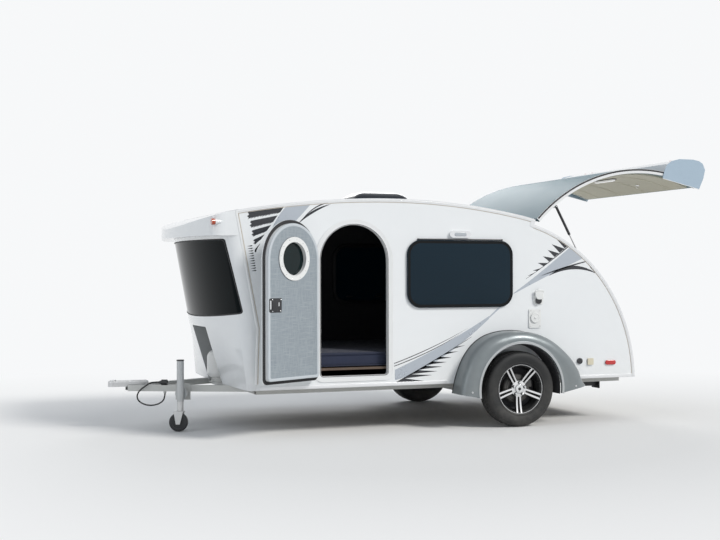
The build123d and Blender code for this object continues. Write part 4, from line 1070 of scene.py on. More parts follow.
@dataclass
class Shell:
    """Trim of the body: double edge moulding, seam strips, sealant and the band along the foot."""

    bead_depth: float = 0.013
    bead_width: float = 0.009
    bead_height: float = 0.0048
    sealant_depth: float = 0.0305
    sealant: tuple = (0.005, 0.0016)
    seam_strip: tuple = (0.020, 0.0045)
    seam_sealant: tuple = (0.007, 0.003)
    seam_sealant_shift: float = 0.0135
    roof_strip: tuple = (0.797, 0.026, 0.004)
    foot_band: float = 0.028
    foot_runs: tuple = ((0.975, 2.560), (3.770, 4.330))

    def half_round(self, width: float, height: float) -> Array:
        """Section of a moulding: half an ellipse on a flat foot."""
        turn = np.linspace(0, math.pi, 9)
        return np.column_stack([width / 2 * np.cos(turn), height * np.sin(turn)])

    def along_edges(self, depth: float, section: Array) -> Skin:
        """Moulding along the roof and the tail edge of both walls.

        Args:
            depth: distance of its middle from the edge.
            section: its section, foot on v = 0.

        Returns:
            Four runs of moulding.
        """
        lines = (PROFILE.roof(depth), PROFILE.tail(PROFILE.hatch_edge + depth, 0.004))
        return joined([both_sides(swept(in_side_view(line, WALL_FACE), section, (0, 1, 0)))
                       for line in lines])

    def seam(self, x_shift: float, section: Array) -> Skin:
        """Strip along the seam between cap and wall on both sides."""
        corners = np.array([PROFILE.seam_foot, PROFILE.seam_knee, PROFILE.seam_top]) + [x_shift, 0]
        line = np.vstack([np.linspace(corners[0] + [0, 0.05], corners[1], 9),
                          np.linspace(corners[1], corners[2] - [0, 0.004], 18)[1:]])
        run = swept(in_side_view(line, WALL_FACE), section, (0, 1, 0))
        return both_sides(run)

    def over_roof(self, x: float, width: float, height: float) -> Skin:
        """Cover strip across the roof at x: its section stands on the roof line."""
        slope = math.asin((PROFILE.crest[0] - x) / PROFILE.front_radius)
        z = PROFILE.crest[1] - PROFILE.front_radius * (1 - math.cos(slope))
        path = np.array([[x, y, z] for y in np.linspace(-0.922, 0.922, 9)])
        section = self.half_round(width, height)
        return swept(path, section, (-math.sin(slope), 0, math.cos(slope)))

    def foot_strip(self) -> Skin:
        """Pale band along the foot of both walls, open behind the wheels."""
        strips = []
        for start, end in self.foot_runs:
            strip = block(end - start, self.foot_band, 0.0028, 0.002, 0.0012, 3)
            for side in Side:
                strips.append(strip.moved(out_of_wall(side, (start + end) / 2, WALL_FACE,
                                                      self.foot_band / 2 + 0.001)))
        return joined(strips)

    def build(self) -> None:
        """Makes the trim."""
        bead = self.half_round(self.bead_width, self.bead_height)
        piece("edge_bead", self.along_edges(self.bead_depth, bead), WHITE_TRIM, BODY)
        line = self.half_round(*self.sealant)
        piece("edge_sealant", self.along_edges(self.sealant_depth, line), BEIGE_SEAL, BODY)
        piece("cap_seam_strip", self.seam(0.0, self.half_round(*self.seam_strip)), WHITE_TRIM, BODY)
        line = self.half_round(*self.seam_sealant)
        piece("cap_seam_sealant", self.seam(self.seam_sealant_shift, line), BEIGE_SEAL, BODY)
        piece("roof_seam_strip", self.over_roof(*self.roof_strip), WHITE_TRIM, BODY)
        piece("foot_band", self.foot_strip(), TRIM, BODY)


@dataclass
class FrontCap:
    """Glazing seal, bottle bay lining and small fixings of the front cap."""

    low: float = 0.549
    depth: float = 0.271
    bow: float = 0.177
    corner: float = 0.120
    half: float = 0.925
    top: tuple = (0.716, 1.173)
    foot: tuple = (0.853, 0.597)
    front_low: float = 0.459
    knee_trim: float = 0.022
    front: float = 0.300
    bay_half: float = 0.240
    bay_top: float = 0.470
    bay_back: float = 1.085
    rake: float = -0.18524
    lamp_back: float = 0.628

    def plan(self, inset: float, count: int = 24) -> Array:
        """Plan of the cap at its belt, from the right side round the nose to the left side.

        A straight side, a corner arc tangent to it and to the bowed front, then the same mirrored.

        Args:
            inset: distance inside the surface.
            count: points on half of the front.

        Returns:
            Points by 2, in x and y.
        """
        seam = PROFILE.seam_knee[0] + (self.low - PROFILE.seam_knee[1]) * self.rake
        nose = seam - self.depth
        big = (self.half**2 + self.bow**2) / (2 * self.bow)
        centre = nose + big
        fillet_y = self.half - self.corner
        fillet_x = centre - math.sqrt((big - self.corner)**2 - fillet_y**2)
        meet = math.atan2(fillet_y, centre - fillet_x)
        side = np.column_stack([np.linspace(seam, fillet_x, 12), np.full(12, self.half - inset)])
        turn = np.linspace(math.pi / 2, math.pi - meet, 14)[1:]
        round_off = np.array([fillet_x, fillet_y]) + (self.corner - inset) * np.stack(
            [np.cos(turn), np.sin(turn)], axis=-1)
        turn = np.linspace(math.pi - meet, math.pi, count)[1:]
        front = np.array([centre, 0.0]) + (big - inset) * np.stack([np.cos(turn), np.sin(turn)], axis=-1)
        right = np.vstack([side, round_off, front])
        return np.vstack([right, right[-2::-1] * [1, -1]])

    def edge_height(self, plan: Array, start: Sequence[float], end: Sequence[float]) -> Array:
        """Height at which the raked cap meets a side-view line: z solves line(x + rake (z - low)) = z."""
        slope = (end[1] - start[1]) / (end[0] - start[0])
        return ((start[1] + slope * (plan[:, 0] - self.rake * self.low - start[0]))
                / (1 - slope * self.rake))

    def glazing_loop(self, inset: float, shrink: float) -> Array:
        """Closed line round the wraparound window with its raked rear corners rounded off.

        The edge is drawn in side view, from the nose along the top, down the rear edge and back along the
        foot. Each of its points then takes its distance from the middle off the raked plan.

        Args:
            inset: distance inside the cap's surface.
            shrink: distance inside the opening's edge.

        Returns:
            Points by 3.
        """
        plan = self.plan(inset)
        half = plan[:len(plan) // 2 + 1][::-1]
        high = np.array([self.top[0] - shrink, self.top[1] - shrink])
        low = np.array([self.foot[0] - shrink, self.foot[1] + shrink])
        edges = []
        for end, front_z in ((high, self.top[1] + 0.007 - shrink), (low, self.front_low + shrink)):
            z = self.edge_height(half, (self.front, front_z), end)
            line = np.column_stack([half[:, 0] + (z - self.low) * self.rake, z])
            edges.append(line[line[:, 0] < end[0] - self.knee_trim])
        over, under = edges
        length = np.linalg.norm(low - high)
        share = np.linspace(self.knee_trim / length, 1 - self.knee_trim / length, 24)[:, None]
        rear = high + (low - high) * share
        line = np.vstack([over, self.knee(over[-1], high, rear[0]), rear, self.knee(rear[-1], low, under[-1]),
                          under[::-1]])
        y = np.interp(line[:, 0] - (line[:, 1] - self.low) * self.rake, half[:, 0], half[:, 1])
        right = np.column_stack([line[:, 0], y, line[:, 1]])
        return np.vstack([right, right[-2:0:-1] * [1, -1, 1]])

    def knee(self, start: Array, corner: Array, end: Array) -> Array:
        """Rounded corner between two points, without its ends."""
        t = np.linspace(0, 1, 9)[1:-1, None]
        near = []
        for away in (start - corner, end - corner):
            near.append(corner + away * min(1.0, self.knee_trim / max(float(np.linalg.norm(away)), 1e-6)))
        return near[0] * (1 - t)**2 + corner * 2 * t * (1 - t) + near[1] * t**2

    def bay_lining(self) -> Skin:
        """Moulded panel on the bottle bay's back wall with a raised frame; its grey is painted shade."""
        back = self.bay_back - 0.0015
        outer = rounded(0.46, 0.36, 0.03, 6) + [0, 0.28]
        inner = rounded(0.40, 0.30, 0.02, 6) + [0, 0.28]
        rings = [np.column_stack([np.full(len(line), x), line[:, 0], line[:, 1]])
                 for line, x in ((outer, back), (outer, back - 0.006), (inner, back - 0.006), (inner, back))]
        return lofted(np.array(rings), loop=True)

    def catches(self) -> Skin:
        """Two turn catches for the bottle bay's cover."""
        skins = []
        for side in Side:
            base = block(0.050, 0.022, 0.006, 0.008, 0.002)
            lever = block(0.040, 0.012, 0.012, 0.005, 0.003).at(0.004, 0, 0.006)
            spot = (0.868, side.value * 0.285, 0.350)
            skins.append(joined([base, lever]).moved(basis((0, -side.value, 0), (0, 0, 1), (-1, 0, 0), spot)))
        return joined(skins)

    def in_bay(self, centres: Array, normals: Array) -> Array:
        """Chooses the cap's faces that line the bottle bay, which take the grey of painted shade."""
        near = np.abs(centres[:, 1]) < self.bay_half + 0.0005
        return near & (centres[:, 2] < self.bay_top + 0.0005)

    def build(self) -> None:
        """Makes the cap's details."""
        piece("cap_glazing_seal", piped(self.glazing_loop(0.003, 0.005), 0.0060, 8, loop=True), BLACK_RUBBER,
              BODY)
        # The bottle bay's frame and walls are grey as painted shade of the recess.
        piece("bottle_bay_frame", self.bay_lining(), BAY_SHADE_GREY, BODY)
        piece("bottle_bay_catches", self.catches(), CHROME, BODY)
        dress_part("front_cap", BAY_SHADE_GREY, self.in_bay)
        dress_part("cap_lamps", CAP_GELCOAT, between(0, self.lamp_back))


@dataclass
class Door:
    """One round-topped door: linen inner skin, pale border, seals, latch and port screws.

    Everything is drawn on the closed right door, then mirrored for the left one and turned to where
    it stands.
    """

    side: Side
    centre: float = 1.7535
    clear_half: float = 0.284
    clear_low: float = 0.094
    clear_top: float = 1.290
    gap: float = 0.006
    overlap: float = 0.0215
    outer: float = 0.937
    body: float = 0.034
    rim: float = 0.008
    frame_face: float = 0.931
    port_z: float = 1.015
    port_ring: float = 0.166
    port_glass: float = 0.133
    border: float = 0.021
    latch: tuple = (1.9585, 0.665)
    hinge_x: float = 1.436
    hinge_heights: tuple = (0.230, 0.620, 1.000)
    screws: int = 12

    def arch(self, grow: float, corner: float = 0.024, count: int = 40) -> Array:
        """Door outline: two foot corners, straight sides and a half circle above.

        Args:
            grow: how far it lies outside the clear opening.
            corner: radius of the foot corners.
            count: points on the half circle.

        Returns:
            Points by 2, anticlockwise.
        """
        half = self.clear_half + grow
        low, top = self.clear_low - grow, self.clear_top + grow
        spring = top - half
        turn = np.linspace(0, math.pi, count)
        over = np.stack([half * np.cos(turn), spring + half * np.sin(turn)], axis=-1)
        left, right = np.linspace(math.pi, 1.5 * math.pi, 8), np.linspace(1.5 * math.pi, 2 * math.pi, 8)
        feet = [np.stack([x + corner * np.cos(a), low + corner + corner * np.sin(a)], axis=-1)
                for x, a in ((corner - half, left), (half - corner, right))]
        rise = np.linspace(0.04, 0.96, 24)[:, None]
        down = over[-1] * (1 - rise) + feet[0][0] * rise
        up = feet[1][-1] * (1 - rise) + over[0] * rise
        return np.vstack([over, down, feet[0], feet[1], up]) + [self.centre, 0]

    def placed(self, skin: Skin) -> Skin:
        """A closed right-hand skin where this door stands at rest."""
        if self.side is Side.RIGHT:
            return skin
        return skin.mirrored().moved(closed_to_rest("left_door_hinge"))

    @property
    def inner(self) -> float:
        """Distance of the leaf's inner face from the middle, closed."""
        return self.outer - self.body

    def inner_skin(self) -> Skin:
        """Linen sheet on the inner face, cut round the port."""
        line = self.arch(-self.gap - self.border, 0.012)
        hole = pulled_to(line, (self.centre, self.port_z), self.port_ring - 0.004)
        return hoop(line, hole, self.inner - 0.0012, self.inner + 0.0005)

    def inner_border(self) -> Skin:
        """Pale moulding round the inner face."""
        outer, inner = self.arch(-self.gap + 0.0005), self.arch(-self.gap - self.border, 0.012)
        middle = self.arch(-self.gap - self.border * 0.45, 0.02)
        rings = [in_side_view(outer, self.inner + 0.006), in_side_view(outer, self.inner - 0.001),
                 in_side_view(middle, self.inner - 0.0042), in_side_view(inner, self.inner - 0.0022),
                 in_side_view(inner, self.inner + 0.0005), in_side_view(middle, self.inner + 0.002)]
        return lofted(np.array(rings), loop=True)

    def rim_seal(self) -> Skin:
        """Black seal on the inner face of the lapping rim, with a bulb along its middle."""
        flat = hoop(self.arch(self.overlap - 0.0006, 0.045), self.arch(-self.gap + 0.0004, 0.024),
                    self.outer - 0.0022, self.outer + 0.0002)
        bulb = piped(in_side_view(self.arch(0.010, 0.034), self.outer - 0.0022), 0.0022, 8, loop=True)
        return joined([flat, bulb])

    def frame_bead(self) -> Skin:
        """Black seal round the frame's flange."""
        return piped(in_side_view(self.arch(0.0045, 0.028), self.frame_face), 0.0022, 8, loop=True)

    def frame_rings(self) -> Skin:
        """Two fine raised lines round the frame's flange."""
        lines = [piped(in_side_view(self.arch(grow, 0.05), self.frame_face), 0.0013, 6, loop=True)
                 for grow in (0.0290, 0.0395)]
        return joined(lines)

    def port_screws(self) -> Skin:
        """Screws on both clamping rings."""
        skins = []
        radius = (self.port_ring + self.port_glass) / 2 + 0.001
        turn = np.arange(self.screws) * 2 * math.pi / self.screws + 0.13
        for face, out in ((self.outer + self.rim + 0.009, 1), (self.inner - 0.009, -1)):
            for a in turn:
                place = upright(out, self.centre + radius * math.cos(a), face,
                                self.port_z + radius * math.sin(a))
                skins.append(cross_screw(0.0042).moved(place))
        return joined(skins)

    def port_bead(self) -> Skin:
        """Rounded inner edge of both clamping rings: a bar round the glass."""
        line = circle(self.port_glass - 0.004, 64) + [self.centre, self.port_z]
        faces = (self.outer + self.rim + 0.0075, self.inner - 0.0075)
        return joined([piped(in_side_view(line, y), 0.0036, 8, loop=True) for y in faces])

    def port_seal(self) -> Skin:
        """Black seal between each clamping ring and the door's skin."""
        wide, narrow = (circle(self.port_ring + grow, 64) + [self.centre, self.port_z]
                        for grow in (0.0016, -0.006))
        return joined([hoop(wide, narrow, self.outer + self.rim - 0.0002, self.outer + self.rim + 0.0022),
                       hoop(wide, narrow, self.inner - 0.0030, self.inner + 0.0002)])

    def latch_inside(self) -> tuple[Skin, Skin]:
        """Inner latch: black raised plate, and bright levers with screws."""
        x, z = self.latch
        face = self.inner - 0.0005
        place = upright(-1, x, face, z)
        plate = block(0.132, 0.104, 0.004, 0.008, 0.0015)
        well = block(0.060, 0.078, 0.003, 0.006, 0.001).at(0.006, -0.002, 0.0035)
        levers = [block(0.012, 0.066, 0.0045, 0.003, 0.0012).at(0.052, 0.004, 0.002),
                  block(0.009, 0.030, 0.004, 0.003, 0.0012).at(-0.036, 0.008, 0.002)]
        screws = [cross_screw(0.0048).at(u, v, 0.004) for u in (-0.057, 0.030) for v in (-0.043, 0.043)]
        return joined([plate, well]).moved(place), joined(levers + screws).moved(place)

    def handle_outside(self) -> tuple[Skin, Skin]:
        """Outer handle: a bright paddle in its recess with a lock, and its frame's rim."""
        x, z = self.latch
        face = self.outer + self.rim
        place = upright(1, x + 0.0065, face, z)
        paddle = block(0.050, 0.046, 0.009, 0.008, 0.003).at(0, 0.014, 0.004)
        lock = turned([(0.011, 0.004), (0.011, 0.010), (0.0095, 0.0115)], 20).at(0, -0.027, 0)
        slot = block(0.0016, 0.008, 0.002, 0.0005, 0.0003, 3).at(0, -0.027, 0.0112)
        edge = rounded(0.096, 0.118, 0.016)
        ring = np.column_stack([edge * 0.97, np.full(len(edge), 0.0142)])
        return (joined([paddle, lock, slot]).moved(place),
                piped(ring, 0.0022, 8, loop=True).moved(place).at(-0.0035, 0, 0))

    def hinge_screws(self) -> Skin:
        """Screws on the leaves of the three hinges."""
        skins = []
        face = self.outer + self.rim + 0.0035
        for z in self.hinge_heights:
            for dx, dz in ((0.018, 0.008), (0.018, 0.024), (0.036, 0.016)):
                skins.append(cross_screw(0.0036).moved(upright(1, self.hinge_x + dx, face, z + dz)))
        return joined(skins)

    def dress(self) -> None:
        """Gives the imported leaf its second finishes: white rings on a gelcoat leaf."""
        back = np.eye(4)
        if self.side is Side.LEFT:
            back = np.diag([1.0, -1.0, 1.0, 1.0]) @ np.linalg.inv(closed_to_rest("left_door_hinge"))

        def on_ring(centres: Array, normals: Array) -> Array:
            """Faces of the two clamping rings and their sleeve."""
            drawn = centres @ back[:3, :3].T + back[:3, 3]
            away = np.hypot(drawn[:, 0] - self.centre, drawn[:, 2] - self.port_z)
            return away < self.port_ring + 0.002

        dress_part(f"{self.side.word}_door", WHITE_PLASTIC, on_ring)

    def build(self) -> None:
        """Makes every detail of this door."""
        word = self.side.word
        leaf = f"{word}_door_leaf"
        plate, levers = self.latch_inside()
        paddle, handle_rim = self.handle_outside()
        for name, skin, finish, slot in (
                ("inner_skin", self.inner_skin(), LINEN_PANEL, "white_gelcoat"),
                ("inner_border", self.inner_border(), INNER_BORDER, "white_gelcoat"),
                ("rim_seal", self.rim_seal(), BLACK_RUBBER, "black_plastic"),
                ("port_screws", self.port_screws(), STEEL, "trim"),
                ("port_bead", self.port_bead(), WHITE_PLASTIC, "white_gelcoat"),
                ("port_seal", self.port_seal(), BLACK_RUBBER, "black_plastic"),
                ("latch_plate", plate, BLACK_PLASTIC, "black_plastic"),
                ("latch_levers", levers, CHROME, "trim"),
                ("handle_paddle", paddle, CHROME, "trim"),
                ("handle_rim", handle_rim, BLACK_PLASTIC, "black_plastic"),
                ("hinge_screws", self.hinge_screws(), STEEL, "trim")):
            piece(f"{word}_door_{name}", self.placed(skin), finish, leaf)
        piece(f"{word}_frame_seal", on_side(self.frame_bead(), self.side), BLACK_RUBBER, BODY)
        piece(f"{word}_frame_lines", on_side(self.frame_rings(), self.side), WHITE_TRIM, BODY)
        self.dress()


@dataclass
class SideWindow:
    """One side window: bordered acrylic pane over the wall's opening, seal, liner and catches.

    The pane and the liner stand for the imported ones, whose flange is taller than the photographed pane.
    """

    side: Side
    centre: tuple = (2.6818, 0.8985)
    width: float = 0.957
    height: float = 0.552
    corner: float = 0.120
    pane_face: float = 0.944
    pane_back: float = 0.932
    hole: tuple = (2.6825, 0.9000, 0.914, 0.542, 0.120)
    inner_wall: float = 0.890
    border: float = 0.027

    def outline(self, grow: float) -> Array:
        """The pane's outline, grown or shrunk."""
        return rounded(self.width + 2 * grow, self.height + 2 * grow, self.corner + grow, 14) + self.centre

    def opening(self, grow: float) -> Array:
        """The wall's opening, grown or shrunk."""
        x, z, width, height, corner = self.hole
        return rounded(width + 2 * grow, height + 2 * grow, corner + grow, 14) + [x, z]

    def pane(self) -> Skin:
        """Acrylic pane with a rounded front edge."""
        rings = [in_side_view(self.outline(grow), y) for grow, y in (
            (-0.002, self.pane_back), (0.0, self.pane_back + 0.002), (0.0, self.pane_face - 0.004),
            (-0.0015, self.pane_face - 0.0012), (-0.005, self.pane_face))]
        return lofted(np.array(rings))

    def printed_border(self) -> Skin:
        """Black band printed round the pane's face."""
        return hoop(self.outline(-0.0052), self.outline(-self.border), self.pane_face - 0.0002,
                    self.pane_face + 0.0003)

    def seal(self) -> Skin:
        """Black lip between the pane and the wall."""
        return hoop(self.outline(-0.003), self.opening(-0.006), WALL_FACE + 0.0002, self.pane_back + 0.0005)

    def liner(self) -> Skin:
        """Frame that lines the opening, with a rolled flange on the cabin side."""
        y = self.inner_wall
        rings = [in_side_view(self.opening(grow), at) for grow, at in (
            (-0.0012, WALL_FACE - 0.002), (-0.0012, y), (0.020, y - 0.002), (0.014, y - 0.008),
            (-0.010, y - 0.010), (-0.018, y - 0.004), (-0.018, WALL_FACE - 0.004))]
        return lofted(np.array(rings), loop=True)

    def rail(self) -> Skin:
        """Hinge rail over the pane with a cap at each end."""
        x, z = self.centre
        top = z + self.height / 2 + 0.005
        bar = block(0.750, 0.011, 0.015, 0.004, 0.003)
        cap = block(0.014, 0.013, 0.017, 0.003, 0.002)
        parts = ((bar, 0.0), (cap, -0.378), (cap, 0.378))
        return joined([skin.moved(upright(1, x + at, WALL_FACE, top)) for skin, at in parts])

    def catches(self) -> Skin:
        """Three turn catches along the pane's foot, on the cabin side."""
        x, z = self.centre
        skins = []
        for dx in (-0.30, 0.0, 0.30):
            base = block(0.044, 0.020, 0.008, 0.006, 0.002)
            lever = block(0.062, 0.013, 0.011, 0.006, 0.003).at(0.012, 0, 0.008)
            place = upright(-1, x + dx, self.pane_back, z - self.height / 2 + 0.062)
            skins.append(joined([base, lever]).moved(place))
        return joined(skins)

    def build(self) -> None:
        """Makes this window."""
        word = self.side.word
        for name, skin, finish, slot, node in (
                ("pane", self.pane(), TINTED, "dark_glass", "window_glass"),
                ("liner", self.liner(), BLACK_PLASTIC, "black_plastic", "window_frames"),
                ("border", self.printed_border(), GLASS_PRINT, "black_plastic", ""),
                ("seal", self.seal(), BLACK_RUBBER, "black_plastic", ""),
                ("rail", self.rail(), BLACK_PLASTIC, "black_plastic", ""),
                ("catches", self.catches(), BLACK_PLASTIC, "black_plastic", "")):
            made = piece(f"{word}_window_{name}", on_side(skin, self.side), finish, BODY)
            if node:
                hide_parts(node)


@dataclass
class Wheel:
    """One road wheel: moulded tyre, black rim with five pairs of machined bars, nuts and cap."""

    side: Side
    axle: tuple = (3.145, -0.049)
    middle: float = 1.0245
    half_profile: tuple = (
        # radius, distance from the tyre's middle, from the bead to the crown
        (0.1935, 0.0700), (0.2005, 0.0745), (0.2060, 0.0800), (0.2110, 0.0822), (0.2135, 0.0848),
        (0.2165, 0.0848), (0.2190, 0.0840), (0.2320, 0.0884), (0.2480, 0.0915), (0.2600, 0.0922),
        (0.2640, 0.0925), (0.2680, 0.0917), (0.2760, 0.0905), (0.2850, 0.0880), (0.2930, 0.0835),
        (0.2990, 0.0770), (0.3035, 0.0700), (0.3064, 0.0620), (0.3082, 0.0500), (0.3095, 0.0350),
        (0.3106, 0.0180), (0.3110, 0.0),
    )
    turns: int = 360
    grooves: tuple = (-0.045, -0.016, 0.016, 0.045)
    groove_half: float = 0.0036
    groove_depth: float = 0.0055
    sipe_depth: float = 0.0030
    tread_half: float = 0.078
    slant: float = 0.16
    first_bar: float = 51.0
    bar_gap: float = 0.034
    bar_width: float = 0.0135
    # profiles on the wheel's face: radius, distance out
    hub: tuple = ((0.074, -0.028), (0.074, -0.004), (0.070, 0.0), (0.040, 0.001), (0.037, -0.003),
                  (0.020, -0.003))
    star: tuple = ((0.066, -0.002), (0.066, 0.0008), (0.062, 0.0018), (0.041, 0.0022), (0.040, 0.0))
    pocket: tuple = ((0.0135, 0), (0.0135, 0.0034), (0.0125, 0.004))
    nut: tuple = ((0.0095, 0), (0.0095, 0.016), (0.0075, 0.0185), (0.002, 0.019))
    cap: tuple = ((0.0360, 0), (0.0360, 0.010), (0.0335, 0.0135), (0.022, 0.0150), (0.0205, 0.0135),
                  (0.004, 0.0138))
    inset: tuple = ((0.0135, 0), (0.0135, 0.0012), (0.012, 0.002), (0.002, 0.0021))
    valve: tuple = ((0.0045, 0), (0.004, 0.012), (0.0028, 0.028), (0.0028, 0.034), (0.002, 0.035))
    drum: tuple = ((0.122, -0.05), (0.122, 0.0), (0.112, 0.012), (0.080, 0.014), (0.020, 0.014))
    nut_circle: float = 0.0525

    def lathe(self, profile: Array, turns: int = 96) -> Skin:
        """Closed ring about the axle: each (radius, out) of a closed profile turned round it.

        Args:
            profile: points by 2, radius and distance out from the trailer's middle.
            turns: stations round the axle.

        Returns:
            The ring.
        """
        angle = np.arange(turns) * 2 * math.pi / turns
        x = self.axle[0] + profile[None, :, 0] * np.cos(angle)[:, None]
        z = self.axle[1] + profile[None, :, 0] * np.sin(angle)[:, None]
        y = np.broadcast_to(profile[None, :, 1], x.shape) * self.side.value
        return lofted(np.stack([x, y, z], axis=-1), loop=True)

    def tyre(self) -> Skin:
        """Tyre with four grooves round the tread and sipes across its ribs and shoulders.

        The grid is (turn, place on the profile). A point's radius is the profile's, less the depth of each
        groove it lies in, and less the sipes' depth where the turn is in a sipe and the place on the tread.
        """
        half = np.array(self.half_profile)
        profile = np.vstack([half, half[-2::-1] * [1, -1]])
        steps = np.concatenate([[0], np.cumsum(np.linalg.norm(np.diff(profile, axis=0), axis=1))])
        middle = steps[-1] / 2
        walls = [middle + groove + np.array([-0.0045, -0.0032, 0.0032, 0.0045]) for groove in self.grooves]
        fine = np.sort(np.concatenate([steps, *walls, middle + np.linspace(-0.072, 0.072, 25)]))
        radius, across = (np.interp(fine, steps, profile[:, k]) for k in (0, 1))
        place = fine - middle
        in_groove = np.min(np.abs(place[:, None] - np.array(self.grooves)), axis=1) < self.groove_half
        on_tread = np.abs(place) < self.tread_half
        turn = np.arange(self.turns)
        rib = np.digitize(place, self.grooves)
        beside_middle = on_tread & (np.abs(place) > self.grooves[2])
        sipe = ((turn[:, None] + 2 * rib[None, :]) % 5 == 0) & beside_middle[None, :]
        depth = self.groove_depth * in_groove[None, :] + self.sipe_depth * (sipe & ~in_groove[None, :])
        angle = turn * 2 * math.pi / self.turns
        slant = angle[:, None] + self.slant * np.abs(place)[None, :] * on_tread[None, :]
        round_off = radius[None, :] - depth
        outer = np.stack([self.axle[0] + round_off * np.cos(slant),
                          np.broadcast_to(self.side.value * (self.middle + across), round_off.shape),
                          self.axle[1] + round_off * np.sin(slant)], axis=-1)
        return lofted(outer, loop=True)

    def barrel(self) -> Skin:
        """Rim barrel with its outer and inner lips."""
        out = self.middle
        profile = np.array([
            (0.2030, out + 0.0735), (0.2060, out + 0.0725), (0.2072, out + 0.0690), (0.2060, out + 0.0650),
            (0.1925, out + 0.0610), (0.1900, out + 0.0300), (0.1780, out + 0.0050), (0.1880, out - 0.0400),
            (0.1925, out - 0.0640), (0.2060, out - 0.0690), (0.2060, out - 0.0730), (0.1930, out - 0.0735),
            (0.1850, out - 0.0620), (0.1800, out - 0.0400), (0.1700, out + 0.0030), (0.1820, out + 0.0320),
            (0.1850, out + 0.0560), (0.1965, out + 0.0700)])
        return self.lathe(profile)

    def lip(self) -> Skin:
        """Machined ring along the rim's edge."""
        out = self.middle + 0.0735
        return self.lathe(np.array([(0.1975, out - 0.0030), (0.1978, out + 0.0006), (0.2030, out + 0.0013),
                                    (0.2062, out + 0.0004), (0.2066, out - 0.0022)]))

    def bar(self, width: float, low: float, high: float, start: float, end: float, offset: float) -> Skin:
        """One bar of a pair, in the wheel's plane along x.

        Its face is dished: the distance out grows with the square of the radius.

        Args:
            width: width of the bar.
            low: how far its back lies behind the face.
            high: how far its front stands before the face.
            start: radius where it starts.
            end: radius where it ends.
            offset: distance of its middle line from the wheel's centre.
        """
        along = np.linspace(start, end, 9)
        face = self.middle + 0.0400 + 0.030 * (along / 0.19)**2
        lean = offset * (0.86 + 0.22 * (along - 0.06) / 0.13)
        half = width / 2 * (1.0 + 0.10 * (along - 0.06) / 0.13)
        section = ((-1, -low), (-1, high - 0.001), (-0.8, high), (0.8, high), (1, high - 0.001), (1, -low))
        rings = np.array([np.column_stack([np.full(len(section), a),
                                           [f + v for _, v in section],
                                           [b + h * u for u, _ in section]])
                          for a, f, b, h in zip(along, face, lean, half)])
        return lofted(rings)

    def bars(self, width: float, low: float, high: float, start: float, end: float) -> Skin:
        """Ten bars in five pairs round the hub."""
        skins = []
        for k in range(5):
            angle = math.radians(self.first_bar + 72 * k)
            c, s = math.cos(angle), math.sin(angle)
            turn = np.eye(4)
            turn[:3, :3] = [[c, 0, -s], [0, 1, 0], [s, 0, c]]
            for way in (-1, 1):
                skins.append(self.bar(width, low, high, start, end, way * self.bar_gap / 2).moved(turn))
        return self.seated(joined(skins))

    def seated(self, skin: Skin) -> Skin:
        """A skin drawn about the y axis, moved to the axle, on this wheel's side."""
        return on_side(skin.at(self.axle[0], 0, self.axle[1]), self.side)

    def facing(self, skin: Skin, radius: float, angle: float, out: float) -> Skin:
        """A skin that stands on z = 0, set on the wheel's face at a radius and an angle."""
        return skin.moved(upright(1, radius * math.cos(angle), out, radius * math.sin(angle)))

    def build(self) -> None:
        """Makes the wheel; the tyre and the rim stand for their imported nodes."""
        word = self.side.word
        face = self.middle + 0.043
        hub, star, cap, inset = (self.facing(turned(profile, count), 0, 0, out) for profile, count, out in (
            (self.hub, 48, face), (self.star, 60, face), (self.cap, 40, face),
            (self.inset, 24, face + 0.0134)))
        pockets, nuts = [], []
        for k in range(5):
            angle = math.radians(self.first_bar + 36 + 72 * k)
            pockets.append(self.facing(turned(self.pocket, 20), self.nut_circle, angle, face))
            nuts.append(self.facing(turned(self.nut, 6), self.nut_circle, angle, face + 0.001))
        valve = self.facing(turned(self.valve, 12), 0.178, math.radians(15), self.middle + 0.046)
        drum = self.facing(turned(self.drum, 48), 0, 0, self.middle - 0.004)
        calliper = block(0.068, 0.045, 0.026, 0.012, 0.006).moved(
            basis((0, 0, 1), (1, 0, 0), (0, 1, 0), (0.114, self.middle - 0.012, 0.040)))
        shield = self.lathe(np.array([(0.183, self.middle - 0.048), (0.183, self.middle - 0.044),
                                      (0.060, self.middle - 0.044), (0.060, self.middle - 0.048)]))
        cast = joined([self.barrel(), self.bars(0.0210, 0.020, -0.0015, 0.060, 0.192), self.seated(hub)])
        machined = joined([self.lip(), self.bars(self.bar_width, 0.002, 0.0012, 0.064, 0.1955),
                           self.seated(star)])
        fine, usual = 30.0, 38.0
        for name, skin, finish, slot, sharp, node in (
                ("tyre_moulded", self.tyre(), TYRE_RUBBER, "tyre", fine, "tyre"),
                ("rim_cast", cast, WHEEL_BLACK, "alloy", fine, "rim"),
                ("rim_machined", machined, MACHINED, "alloy", fine, ""),
                ("nut_pockets", self.seated(joined(pockets)), WHEEL_BLACK, "alloy", usual, ""),
                ("wheel_nuts", self.seated(joined(nuts + [cap])), CHROME, "chrome", usual, ""),
                ("cap_inset", self.seated(inset), BLACK_PLASTIC, "black_plastic", usual, ""),
                ("valve", self.seated(valve), BLACK_RUBBER, "black_plastic", usual, ""),
                ("dust_shield", shield, DARK_LINING_AND_SHADE, "alloy", usual, "")):
            made = piece(f"{word}_{name}", skin, finish, f"{word}_wheel", sharp)
            if node:
                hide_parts(f"{word}_{node}")
        piece(f"{word}_brake", self.seated(joined([calliper, drum])), DARK_IRON, BODY)


